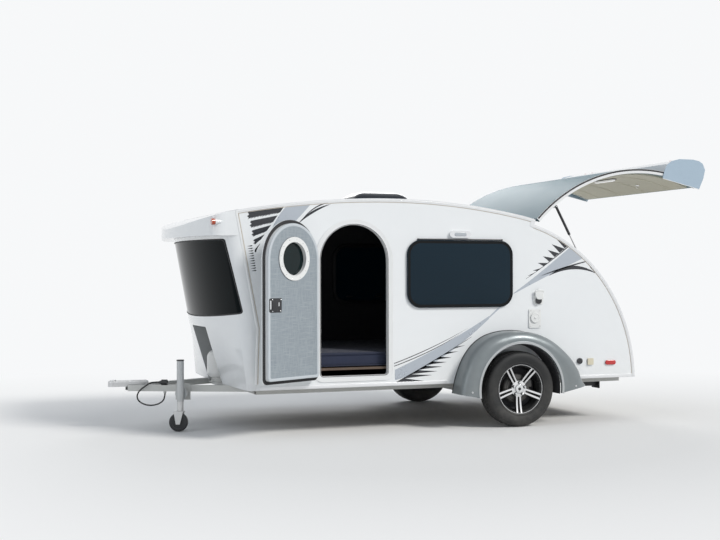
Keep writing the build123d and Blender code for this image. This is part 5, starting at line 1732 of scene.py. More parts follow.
@dataclass
class Fender:
    """One moulded fender over its wheel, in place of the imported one.

    Its outline at the wall is given from the wheel's centre, and its arch is a circle about that centre.
    """

    side: Side
    axle: tuple = (3.145, -0.049)
    outline: tuple = (
        (-0.538, -0.030), (-0.520, 0.060), (-0.490, 0.155), (-0.440, 0.262), (-0.360, 0.363), (-0.262, 0.428),
        (-0.150, 0.462), (-0.027, 0.474), (0.100, 0.464), (0.209, 0.437), (0.320, 0.385), (0.420, 0.310),
        (0.505, 0.225), (0.565, 0.135), (0.607, 0.040), (0.632, 0.012),
    )
    feet: tuple = (-0.060, -0.045)
    arch: float = 0.395
    opening: float = 0.373
    lip: float = 0.0037
    wall: float = 0.005
    wall_face: float = 0.925
    reach: float = 1.127
    rounding: float = 0.085
    stations: int = 96
    liner_radius: float = 0.366

    def lines(self) -> tuple[Array, Array]:
        """Outline at the wall and the arch's edge, station by station.

        The outline is a smooth curve through its points: each run is eased by its neighbours' direction. The
        arch's point turns evenly from the front foot to the rear foot.
        """
        points = np.array(self.outline)
        steps = np.concatenate([[0], np.cumsum(np.linalg.norm(np.diff(points, axis=0), axis=1))])
        slopes = np.gradient(points, steps, axis=0)
        at = np.linspace(0, steps[-1], self.stations)
        k = np.clip(np.searchsorted(steps, at) - 1, 0, len(steps) - 2)
        run = steps[k + 1] - steps[k]
        t = ((at - steps[k]) / run)[:, None]
        run = run[:, None]
        curve = (points[k] * (2 * t**3 - 3 * t**2 + 1) + slopes[k] * run * (t**3 - 2 * t**2 + t)
                 + points[k + 1] * (3 * t**2 - 2 * t**3) + slopes[k + 1] * run * (t**3 - t**2))
        first = math.pi + math.asin(-self.feet[0] / self.opening)
        last = math.asin(self.feet[1] / self.opening)
        turn = np.linspace(first, last, self.stations)
        return curve, np.stack([np.cos(turn), np.sin(turn)], axis=-1)

    def shell(self) -> Skin:
        """The fender as one closed shell.

        Across each station the section leaves the wall square to it, rounds over by a quarter circle, crosses
        the face to the arch, steps out for the lip and comes back inside by the wall's thickness.
        """
        curve, turn = self.lines()
        edge = turn * self.opening
        width = np.linalg.norm(edge - curve, axis=1)
        towards = (edge - curve) / width[:, None]
        lip_in = self.arch - self.opening
        proud = self.reach + self.lip
        soft = np.minimum(self.rounding, width - lip_in - 0.006)
        quarter = np.linspace(0, math.pi / 2, 10)
        inner = np.linspace(math.pi / 2, 0, 8)
        rings = []
        for base, way, wide, r in zip(curve, towards, width, soft):
            small = r - self.wall
            section = [(0.0, self.wall_face), (0.0, (self.wall_face + self.reach - r) / 2)]
            section += [(r * (1 - math.cos(a)), self.reach - r + r * math.sin(a)) for a in quarter]
            section += [((r + wide - lip_in) / 2, self.reach), (wide - lip_in - 0.003, self.reach),
                        (wide - lip_in, proud - 0.001), (wide - lip_in + 0.002, proud),
                        (wide - 0.003, proud), (wide, proud - 0.003),
                        (wide, self.reach - 0.020), (wide - self.wall, self.reach - 0.020),
                        (wide - self.wall, self.reach - self.wall)]
            section += [(self.wall + small * (1 - math.cos(a)), self.reach - r + small * math.sin(a))
                        for a in inner]
            section += [(self.wall, self.wall_face)]
            section = np.array(section)
            x, z = (base + way * section[:, :1] + self.axle).T
            rings.append(np.column_stack([x, section[:, 1], z]))
        return lofted(np.array(rings))

    def wall_bead(self) -> Skin:
        """Black seal along the joint with the wall."""
        curve, _ = self.lines()
        line = curve * 1.004 + self.axle
        return piped(in_side_view(line, self.wall_face + 0.0015), 0.0028, 8)

    def lip_band(self) -> Skin:
        """Paler band along the arch's lip."""
        _, turn = self.lines()
        rings = [turn * r + self.axle for r in (self.opening + 0.001, self.arch - 0.002)]
        y = self.reach + self.lip
        bars = np.stack([in_side_view(rings[0], y - 0.001), in_side_view(rings[0], y + 0.0002),
                         in_side_view(rings[1], y + 0.0002), in_side_view(rings[1], y - 0.001)], axis=1)
        return lofted(bars)

    def bolts(self) -> Skin:
        """Bolts at both feet."""
        bolt, face = hex_bolt(0.009, 0.007), self.reach - 0.0035
        return joined([bolt.moved(upright(1, self.axle[0] + x, face, self.axle[1] + z))
                       for x, z in ((-0.452, -0.010), (0.505, 0.010))])

    def liner(self) -> Skin:
        """Dark inner arch between the fender and the wall's inside."""
        turn = np.linspace(math.radians(190), math.radians(-8), 60)
        inside, outside = (np.stack([np.cos(turn) * r, np.sin(turn) * r], axis=-1) + self.axle
                           for r in (self.liner_radius, self.liner_radius + 0.003))
        near, far = self.wall_face + 0.001, self.reach - 0.022
        return lofted(np.stack([in_side_view(inside, near), in_side_view(inside, far),
                                in_side_view(outside, far), in_side_view(outside, near)], axis=1))

    def build(self) -> None:
        """Makes the fender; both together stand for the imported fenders."""
        word = self.side.word
        shell = piece(f"{word}_fender_shell", on_side(self.shell(), self.side), FENDER_SILVER, BODY,
                      50.0)
        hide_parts("fenders")
        for name, skin, finish, slot in (
                ("fender_lip", self.lip_band(), FENDER_LIP, "fender_silver"),
                ("fender_bead", self.wall_bead(), BLACK_RUBBER, "black_plastic"),
                ("fender_bolts", self.bolts(), ZINC, "zinc"),
                ("arch_liner", self.liner(), DARK_LINING_AND_SHADE, "black_plastic")):
            piece(f"{word}_{name}", on_side(skin, self.side), finish, BODY)


@dataclass
class Hatch:
    """Details of the open rear hatch: black edge seals, light bar, lining seams, hook and lamp rims."""

    half: float = 0.925
    low: float = 0.045
    lamp_z: float = 1.9115
    lamps: tuple = (0.660, 0.790)
    lamp_x: float = 4.966
    cheek: tuple = (
        (4.650, 1.736), (4.667, 1.800), (4.694, 1.8545), (4.745, 1.893), (4.828, 1.9125), (4.970, 1.9120),
        (5.034, 1.9010), (5.074, 1.8779), (5.0985, 1.8241), (5.080, 1.7475), (5.0334, 1.6489),
    )

    def edge_seals(self) -> Skin:
        """Black seal along both side edges of the panel, kept inside the panel's own edge."""
        line = PROFILE.opened(PROFILE.tail(0.009, self.low, PROFILE.hatch_angle + 0.8))
        section = np.array([(-0.007, -0.002), (0.007, -0.002), (0.007, 0.0008), (0.004, 0.0018),
                            (-0.004, 0.0018), (-0.007, 0.0008)])
        run = swept(in_side_view(line, self.half), section, (0, 1, 0))
        return both_sides(run)

    def lining_seams(self) -> Skin:
        """Raised seams along the lining, following the hatch's curve."""
        line = PROFILE.opened(PROFILE.tail(0.0448, 0.085, PROFILE.hatch_angle + 3.0))
        return joined([piped(in_side_view(line, y), 0.0022, 6) for y in (-0.600, -0.210, 0.210, 0.600)])

    def on_lining(self, turn: float, y: float, deep: float = 0.044) -> Array:
        """Place on the lining of the open hatch: x across the trailer, z out of the lining.

        Args:
            turn: turn of the tail arc in degrees, with the hatch closed.
            y: distance from the middle, signed.
            deep: distance inside the outer surface.

        Returns:
            A 4 by 4 matrix.
        """
        closed = PROFILE.on_arc(PROFILE.tail_centre, PROFILE.tail_radius - deep, np.array([turn]))
        x, z = PROFILE.opened(closed)[0]
        a = math.radians(turn - PROFILE.hatch_open)
        out = (-math.sin(a), 0.0, -math.cos(a))
        return basis((0, 1, 0), tuple(np.cross(out, (0, 1, 0))), out, (x, y, z))

    def cheeks(self) -> tuple[Skin, Skin]:
        """Plates that close the tail moulding's ends and lap the panel's side edges, and their foot trim.

        Above the panel a plate is thick and meets the moulding; over the panel's edge it is thin and stands
        clear of the wall's edge trim when the hatch is shut.
        """
        outline = np.array(self.cheek)
        over = PROFILE.opened(PROFILE.on_arc(PROFILE.tail_centre, PROFILE.tail_radius + 0.005,
                                             np.linspace(85.0, 75.5, 8)))
        thick = np.vstack([outline[2:9] * 0.985 + outline[2:9].mean(axis=0) * 0.015, over])
        plates = joined([sheet_plate(outline, 0.9306, 0.9336), sheet_plate(thick, 0.9245, 0.9310)])
        foot = piped(in_side_view(np.linspace(outline[-1], outline[0], 12), 0.9338), 0.0026, 8)
        return both_sides(plates), both_sides(foot)

    def light_bar(self) -> tuple[Skin, Skin]:
        """Long lamp under the hatch and its housing with dark ends."""
        place = self.on_lining(66.0, -0.255)
        bar = block(0.300, 0.040, 0.018, 0.010, 0.005).at(0, 0, 0.004)
        housing = block(0.345, 0.048, 0.007, 0.010, 0.002)
        return bar.moved(place), housing.moved(place)

    def hook(self) -> Skin:
        """Small pull hook near the hatch's foot."""
        plate = block(0.040, 0.024, 0.004, 0.006, 0.0015)
        turn = np.linspace(-0.6, 3.6, 16)
        arc = np.column_stack([np.zeros(16), 0.011 * np.cos(turn), 0.016 + 0.011 * np.sin(turn)])
        return joined([plate, piped(arc, 0.003, 8)]).moved(self.on_lining(79.0, -0.323))

    def lamp_rims(self) -> tuple[Skin, Skin]:
        """Rim under each tail lamp and fine rings on its lens."""
        rims, rings = [], []
        for y in self.lamps:
            for side in Side:
                spot = (self.lamp_x, side.value * y, self.lamp_z - 0.0125)
                rims.append(turned([(0.0495, -0.002), (0.0495, 0.003), (0.046, 0.0055)], 40).at(*spot))
                rings.append(turned([(0.018, 0.0), (0.018, 0.0108), (0.016, 0.0118)], 24).at(*spot))
        return joined(rims), joined(rings)

    def build(self) -> None:
        """Makes the hatch's details."""
        body = "rear_hatch"
        bar, housing = self.light_bar()
        rims, rings = self.lamp_rims()
        plates, trims = self.cheeks()
        for name, skin, finish, slot in (
                ("hatch_edge_seal", self.edge_seals(), BLACK_RUBBER, "black_plastic"),
                ("hatch_lining_seams", self.lining_seams(), HATCH_LINER, "liner"),
                ("hatch_light_bar", bar, LIGHT_BAR, "fitting"),
                ("hatch_light_housing", housing, BLACK_PLASTIC, "black_plastic"),
                # the cheek plates' blue-grey is painted sky reflection and shade
                ("tail_cheeks", plates, CHEEK_SKY_REFLECTION, "white_gelcoat"),
                ("tail_cheek_trim", trims, WHITE_TRIM, "white_gelcoat"),
                ("hatch_hook", self.hook(), CHROME, "chrome"),
                ("tail_lamp_rims", rims, CHROME, "chrome"),
                ("tail_lamp_rings", rings, RED_LENS, "lamp_red")):
            piece(name, skin, finish, body)


@dataclass
class Mattress:
    """Foam mattress in its cloth cover, swollen by a cloth simulation, with piping round its edges."""

    low: Point = (1.127, -0.883, 0.155)
    high: Point = (3.160, 0.883, 0.283)
    inset: float = 0.009
    voxel: float = 0.021
    travel: float = 0.010
    frames: int = 20

    @property
    def middle(self) -> Array:
        """Middle of the space it fills."""
        return (np.array(self.low) + np.array(self.high)) / 2

    def outline(self, inset: float, count: int = 60) -> Array:
        """Plan with rounded corners and sides that pull in a little between them.

        A side's point moves inwards by a share that falls with the square of its distance from the middle.
        """
        size = np.array(self.high) - np.array(self.low)
        half = size[:2] / 2 - inset
        quarter = np.linspace(0, math.pi / 2, 8)
        corner = 0.055
        parts = []
        signs = ((1, 1), (-1, 1), (-1, -1), (1, -1))
        for k, (sx, sy) in enumerate(signs):
            a = quarter + k * math.pi / 2
            arc = np.array([sx, sy]) * (half - corner) + corner * np.stack([np.cos(a), np.sin(a)], axis=-1)
            parts.append(arc)
            ex, ey = signs[(k + 1) % 4]
            start = arc[-1]
            after = quarter[0] + (k + 1) * math.pi / 2
            end = np.array([ex * (half[0] - corner) + corner * math.cos(after),
                            ey * (half[1] - corner) + corner * math.sin(after)])
            share = np.linspace(0, 1, count // 4 + 2)[1:-1, None]
            parts.append(start + (end - start) * share)
        line = np.vstack(parts)
        pull = 0.006 * (1 - np.clip(np.abs(line) / half, 0, 1)**2)
        return line - np.sign(line) * pull[:, ::-1] * (np.abs(line) > half - 0.02)

    def start(self) -> Skin:
        """The cushion before it swells: a stack of its outline, rounded over at the top and the foot."""
        z0, z1 = self.low[2] + 0.002, self.high[2] - 0.010
        edge = 0.020
        rings = []
        for a in np.linspace(0, math.pi / 2, 5):
            rings.append((self.inset + edge * (1 - math.sin(a)), z0 + edge * (1 - math.cos(a))))
        rings += [(inset, z0 + z1 - z) for inset, z in reversed(rings)]
        shapes = []
        for inset, z in rings:
            line = self.outline(inset) + self.middle[:2]
            shapes.append(np.column_stack([line, np.full(len(line), z)]))
        return lofted(np.array(shapes))

    def swell(self, made: bpy.types.Object) -> None:
        """Runs the cloth on a finely remeshed copy of the shape and caps each point's travel.

        A point that went further than the cap is drawn back along its way. No point leaves the space given.

        Args:
            made: the mattress, replaced in its own mesh.
        """
        scene = bpy.context.scene
        remesh = made.modifiers.new("remesh", "REMESH")
        remesh.mode = "VOXEL"
        remesh.voxel_size = self.voxel
        fine = bpy.data.meshes.new_from_object(made.evaluated_get(bpy.context.evaluated_depsgraph_get()))
        made.modifiers.clear()
        old, made.data = made.data, fine
        bpy.data.meshes.remove(old)
        count = len(fine.vertices)
        before = np.empty(count * 3)
        fine.vertices.foreach_get("co", before)
        cloth = made.modifiers.new("swell", "CLOTH")
        cloth.settings.quality = 5
        cloth.settings.use_pressure = True
        cloth.settings.uniform_pressure_force = 4.0
        cloth.settings.effector_weights.gravity = 0.0
        for frame_number in range(1, self.frames + 1):
            scene.frame_set(frame_number)
        after = np.empty(count * 3)
        swollen = made.evaluated_get(bpy.context.evaluated_depsgraph_get()).to_mesh()
        swollen.vertices.foreach_get("co", after)
        made.modifiers.clear()
        before, after = before.reshape(-1, 3), after.reshape(-1, 3)
        way = after - before
        length = np.linalg.norm(way, axis=1, keepdims=True)
        points = before + way * np.minimum(1.0, self.travel / np.maximum(length, 1e-9))
        points = np.clip(points, np.array(self.low), np.array(self.high))
        fine.vertices.foreach_set("co", points.ravel())
        fine.update()
        scene.frame_set(1)

    def piping(self) -> Skin:
        """Round piping sewn along the top and the foot edge."""
        loops = []
        for z in (self.low[2] + 0.014, self.high[2] - 0.018):
            line = self.outline(0.0075, 120) + self.middle[:2]
            loops.append(piped(np.column_stack([line, np.full(len(line), z)]), 0.0040, 8, loop=True))
        return joined(loops)

    def build(self) -> None:
        """Makes the mattress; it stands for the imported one."""
        made = piece("mattress_pad", self.start(), TICKING, BODY, 180.0)
        self.swell(made)
        made.data.shade_smooth()
        if not made.data.materials:
            made.data.materials.append(TICKING.material())
        smooth = made.modifiers.new("smooth", "SUBSURF")
        smooth.levels = smooth.render_levels = 1
        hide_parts("mattress")
        piece("mattress_piping", self.piping(), TICKING, BODY)


@dataclass
class Fittings:
    """Small parts on both walls and the cap: inlet lid, cover, lamps and bottle collar."""

    inlet: tuple = (3.406, 0.702)
    cover: tuple = (3.372, 0.522)
    marker: tuple = (4.110, 0.132)
    lamp: tuple = (2.676, 1.223)
    bottle: tuple = (0.925, 0.0)

    def on_wall(self, skin: Skin, x: float, z: float, out: float) -> Skin:
        """A skin that stands on z = 0, set on the left wall."""
        return skin.moved(out_of_wall(Side.LEFT, x, out, z))

    def inlet_lid(self) -> tuple[Skin, Skin]:
        """Round flip lid over the inlet, and the black socket that shows under it."""
        x, z = self.inlet
        lid = turned([(0.040, 0), (0.040, 0.006), (0.036, 0.010), (0.010, 0.012)], 32)
        hinge = block(0.030, 0.012, 0.010, 0.005, 0.002).at(0, 0.040, 0)
        socket = turned([(0.028, 0), (0.028, 0.005), (0.022, 0.006), (0.020, 0.003), (0.004, 0.003)], 28)
        return (self.on_wall(joined([lid, hinge]), x, z + 0.018, 0.9445),
                self.on_wall(socket, x - 0.004, z - 0.030, 0.9435))

    def cover_face(self) -> tuple[Skin, Skin]:
        """Raised ring and corner screws on the lower cover."""
        x, z = self.cover
        ring = turned([(0.042, 0), (0.042, 0.002), (0.040, 0.003), (0.036, 0.003), (0.035, 0.001),
                       (0.004, 0.001)], 36)
        latch = block(0.018, 0.010, 0.005, 0.003, 0.001)
        screws = [cross_screw(0.0036).at(u, v, 0) for u in (-0.044, 0.044) for v in (-0.064, 0.064)]
        out = 0.9395
        return (self.on_wall(joined([ring, latch.at(0, 0, 0.001)]), x, z + 0.006, out),
                self.on_wall(joined(screws), x, z, out))

    def markers(self, side: Side) -> tuple[Skin, Skin]:
        """Oval marker lamp on one side wall: lens and its rim."""
        lens = block(0.106, 0.040, 0.013, 0.020, 0.006, 8)
        rim = block(0.114, 0.046, 0.004, 0.023, 0.0015, 8)
        place = out_of_wall(side, self.marker[0], WALL_FACE + 0.0002, self.marker[1])
        return lens.moved(place), rim.moved(place)

    def porch_lens(self, side: Side) -> Skin:
        """Clear lens set in the porch lamp's front."""
        x, z = self.lamp
        return capsule(0.015, 0.006, 0.110).moved(out_of_wall(side, x, 0.9440, z - 0.002))

    def collar(self) -> Skin:
        """Guard collar and valve on the gas bottle."""
        x, y = self.bottle
        turn = np.linspace(math.radians(40), math.radians(320), 40)
        rings = []
        for radius, z in ((0.086, 0.286), (0.086, 0.314), (0.083, 0.318), (0.080, 0.314), (0.080, 0.286)):
            around = (x + radius * np.cos(turn), y + radius * np.sin(turn))
            rings.append(np.column_stack([*around, np.full(40, z)]))
        return lofted(np.stack(rings, axis=1))

    def valve(self) -> Skin:
        """Brass valve with its hand wheel and hose nut."""
        x, y = self.bottle
        stem = turned([(0.016, 0.280), (0.016, 0.294), (0.011, 0.298), (0.011, 0.308), (0.004, 0.310)], 20)
        nut = turned([(0.012, 0), (0.012, 0.022), (0.008, 0.026), (0.008, 0.050)], 6)
        side = basis((0, 1, 0), (0, 0, 1), (1, 0, 0), (0.010, 0.0, 0.296))
        return joined([stem, nut.moved(side)]).at(x, y, 0)

    def weld_bead(self) -> Skin:
        """Welded seam round the bottle's middle."""
        x, y = self.bottle
        ring = circle(0.1405, 56)
        return piped(np.column_stack([ring + [x, y], np.full(56, 0.150)]), 0.0022, 6, loop=True)

    def vent_dome(self) -> Skin:
        """Smoked vent lid: a straight skirt under a quarter of an ellipse all round."""
        rings = [(0.0, 1.5240), (0.0, 1.5330)]
        rings += [(0.150 * (1 - math.cos(a)), 1.5330 + 0.084 * math.sin(a))
                  for a in np.linspace(0.12, 1.50, 12)]
        shapes = []
        for inset, z in rings:
            outline = rounded(0.508 - 2 * inset, 0.416 - 2 * inset, max(0.050 - inset * 0.2, 0.02), 8)
            shapes.append(np.column_stack([outline + [2.286, 0.0], np.full(len(outline), z)]))
        return lofted(np.array(shapes))

    def build(self) -> None:
        """Makes the fittings."""
        lid = piece("vent_lid_dome", self.vent_dome(), SMOKE, "vent_dome", 50.0)
        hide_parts("vent_lid")
        lid, socket = self.inlet_lid()
        ring, screws = self.cover_face()
        lenses, rims, porch = [], [], []
        for side in Side:
            lens, rim = self.markers(side)
            lenses.append(lens)
            rims.append(rim)
            porch.append(self.porch_lens(side))
        made = piece("marker_lenses", joined(lenses), RED_LENS, BODY)
        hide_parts("red_markers")
        for name, skin, finish, slot in (
                ("marker_rims", joined(rims), WHITE_PLASTIC, "fitting"),
                ("porch_lenses", joined(porch), LAMP_LENS, "fitting"),
                ("inlet_lid", lid, WHITE_PLASTIC, "fitting"),
                ("inlet_socket", socket, BLACK_PLASTIC, "black_plastic"),
                ("cover_ring", ring, WHITE_PLASTIC, "fitting"),
                ("cover_screws", screws, STEEL, "trim"),
                ("bottle_collar", self.collar(), BOTTLE_PAINT, "bottle"),
                ("bottle_seam", self.weld_bead(), BOTTLE_PAINT, "bottle"),
                ("bottle_valve", self.valve(), BRASS, "chrome")):
            piece(name, skin, finish, BODY)


@dataclass
class Graphics:
    """Stripes on both walls. Points are (x, z) in millimetres."""

    front_bars: tuple = (
        # left top, right top, right foot, left foot
        ((890, 1384), (1176, 1431), (1142, 1380), (890, 1332)),
        ((908, 1310), (1120, 1354), (1084, 1304), (910, 1262)),
        ((920, 1237), (1068, 1279), (1032, 1233), (926, 1192)),
        ((932, 1166), (1016, 1206), (986, 1166), (940, 1128)),
        ((944, 1096), (980, 1138), (962, 1104), (948, 1070)),
    )
    front_ticks: tuple = tuple((897 + 3.2 * k, 1118 - 19 * k) for k in range(11))
    low_edge: tuple = ((2093, 22), (2440, 195), (2785, 382))
    low_spikes: tuple = (
        # root on the edge, tip
        ((2150, 40), (2368, 28)), ((2210, 72), (2430, 76)), ((2274, 104), (2478, 106)),
        ((2340, 138), (2519, 142)), ((2408, 173), (2560, 178)), ((2476, 210), (2601, 215)),
        ((2548, 248), (2664, 263)), ((2622, 290), (2727, 312)), ((2694, 330), (2769, 365)),
    )
    rear_edge: tuple = ((3722, 1152), (3500, 992), (3290, 856))
    rear_spikes: tuple = (
        ((3690, 1132), (3585, 1194)), ((3640, 1094), (3540, 1148)), ((3588, 1056), (3500, 1100)),
        ((3534, 1017), (3452, 1046)), ((3478, 976), (3404, 990)), ((3420, 934), (3356, 926)),
        ((3362, 898), (3306, 880)),
    )

    def spikes(self, edge: Sequence, pairs: Sequence, width: float) -> list[Array]:
        """Outlines of slender streaks that leave a bowed edge, and of the dark edge itself.

        A streak keeps most of its width for half its length and then runs out to a point.

        Args:
            edge: three points of the bowed edge.
            pairs: the root and the tip of each streak.
            width: half a streak's width at its root, measured along the edge.

        Returns:
            The outlines in metres.
        """
        along = np.array(edge[2], float) - np.array(edge[0], float)
        along /= np.linalg.norm(along)
        outlines = []
        for k, (root, tip) in enumerate(pairs):
            root, tip = np.array(root, float), np.array(tip, float)
            wide = width * (1.0 - 0.45 * k / len(pairs)) * along
            outlines.append(np.array([root + wide, root * 0.45 + tip * 0.55 + wide * 0.42, tip,
                                      root * 0.5 + tip * 0.5 - wide * 0.5, root - wide]) * MM)
        line = bow(*edge)
        across = np.array([along[1], -along[0]]) * 9 * (1 if pairs[0][1][1] < pairs[0][0][1] else -1)
        share = np.linspace(1.0, 0.25, len(line))[:, None]
        outlines.append(np.vstack([line, (line + across * share)[::-1]]) * MM)
        return outlines

    def bars(self) -> list[Array]:
        """Outlines of the front bars: straight above, torn below and at the left end."""
        outlines = []
        for left_top, right_top, right_foot, left_foot in self.front_bars:
            a, b, c, d = (np.array(p, float) for p in (left_top, right_top, right_foot, left_foot))
            teeth = max(3, int((c[0] - d[0]) / 22))
            share = np.linspace(0, 1, 2 * teeth + 1)[:, None]
            low = c * (1 - share) + d * share
            tip = (np.arange(2 * teeth + 1) % 2 == 1)[:, None]
            depth = 7 + 8 * np.abs(np.sin(1.9 * np.arange(2 * teeth + 1)))[:, None]
            low = low + tip * depth * np.array([-1.6, -1.0])
            share = np.linspace(0, 1, 5)[1:-1, None]
            end = d * (1 - share) + a * share + np.array([[-14, 0], [3, 0], [-9, 0]])
            outlines.append(np.vstack([a, b, low, end]) * MM)
        for x, z in self.front_ticks:
            outlines.append(np.array([(x - 22, z - 4), (x + 16, z + 4), (x + 22, z), (x + 12, z - 6)]) * MM)
        return outlines

    def bands(self) -> list[Array]:
        """Outlines of the silver bands, each between two bowed edges."""
        pairs = (
            (((1194, 1427), (1093, 1290), (1012, 1080)), ((1391, 1447), (1222, 1270), (1012, 1080))),
            (((2100, 128), (2519, 317), (2945, 548)), ((2100, 44), (2500, 206), (2945, 526))),
            (((2945, 544), (3052, 636), (3160, 728)), ((2945, 530), (3058, 622), (3168, 716))),
            (((3176, 738), (3450, 925), (3731, 1134)), ((3176, 730), (3520, 890), (3858, 1036))),
        )
        return [np.vstack([bow(*top), bow(*foot)[::-1]]) * MM for top, foot in pairs]

    def lines(self) -> list[Array]:
        """Outlines of the thin dark lines and crescents."""
        pairs = (
            (((1285, 1290), (1400, 1392), (1560, 1452)), ((1285, 1290), (1412, 1378), (1560, 1452))),
            (((1300, 1300), (1448, 1436), (1633, 1468)), ((1300, 1300), (1452, 1428), (1633, 1468))),
            (((2093, 182), (2430, 306), (2760, 456)), ((2093, 176), (2430, 300), (2760, 456))),
            (((2093, 160), (2430, 284), (2700, 418)), ((2093, 154), (2430, 278), (2700, 418))),
            (((3420, 876), (3640, 950), (3880, 1008)), ((3420, 876), (3648, 940), (3880, 1000))),
            (((3506, 879), (3730, 966), (3962, 909)), ((3506, 879), (3740, 936), (3962, 903))),
            (((3892, 1004), (3920, 960), (3968, 912)), ((3884, 1004), (3912, 956), (3958, 912))),
        )
        return [np.vstack([bow(*top), bow(*foot)[::-1]]) * MM for top, foot in pairs]

    def build(self) -> None:
        """Lays every stripe on both walls."""
        dark = (self.bars() + self.lines() + self.spikes(self.low_edge, self.low_spikes, 37.0)
                + self.spikes(self.rear_edge, self.rear_spikes, 32.0))
        for name, outlines, finish in (("dark_stripes", dark, STRIPE_BLACK),
                                       ("silver_stripes", self.bands(), STRIPE_SILVER)):
            skins = [decal(outline, side) for outline in outlines for side in Side]
            piece(name, joined(skins), finish, BODY)


@dataclass
class Cable:
    """The trailer's cable on the tongue: out of its gland, down in a loop and up onto the left rail."""

    radius: float = 0.006
    route: tuple = (
        (0.3920, -0.1600, -0.0680),
        (0.3900, -0.1620, -0.1160),
        (0.3480, -0.1560, -0.1520),
        (0.2880, -0.1420, -0.1660),
        (0.2260, -0.1240, -0.1560),
        (0.1800, -0.1100, -0.1220),
        (0.1720, -0.1140, -0.0760),
        (0.1980, -0.1280, -0.0340),
        (0.2380, -0.1420, -0.0040),
        (0.2780, -0.1360, 0.0200),
        (0.3188, -0.1253, 0.0223),
        (0.3460, -0.1380, 0.0223),
    )
    length: float = 0.53

    def build(self) -> bpy.types.Object:
        """Makes the cable as one smooth spline through its route.

        Returns:
            The cable's object.
        """
        curve = bpy.data.curves.new("trailer_cable", "CURVE")
        curve.dimensions = "3D"
        curve.bevel_depth = self.radius
        curve.bevel_resolution = 5
        curve.resolution_u = 12
        curve.use_fill_caps = True
        spline = curve.splines.new("NURBS")
        spline.points.add(len(self.route) - 1)
        spline.points.foreach_set("co", np.column_stack([self.route, np.ones(len(self.route))]).ravel())
        spline.order_u = 3
        spline.use_endpoint_u = True
        curve.materials.append(CABLE_JACKET.material())
        cable = bpy.data.objects.new("trailer_cable", curve)
        bpy.context.scene.collection.objects.link(cable)
        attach(cable, BODY)
        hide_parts("tongue_cable")
        LOG.info("trailer_cable: %.3f m", self.length)
        return cable


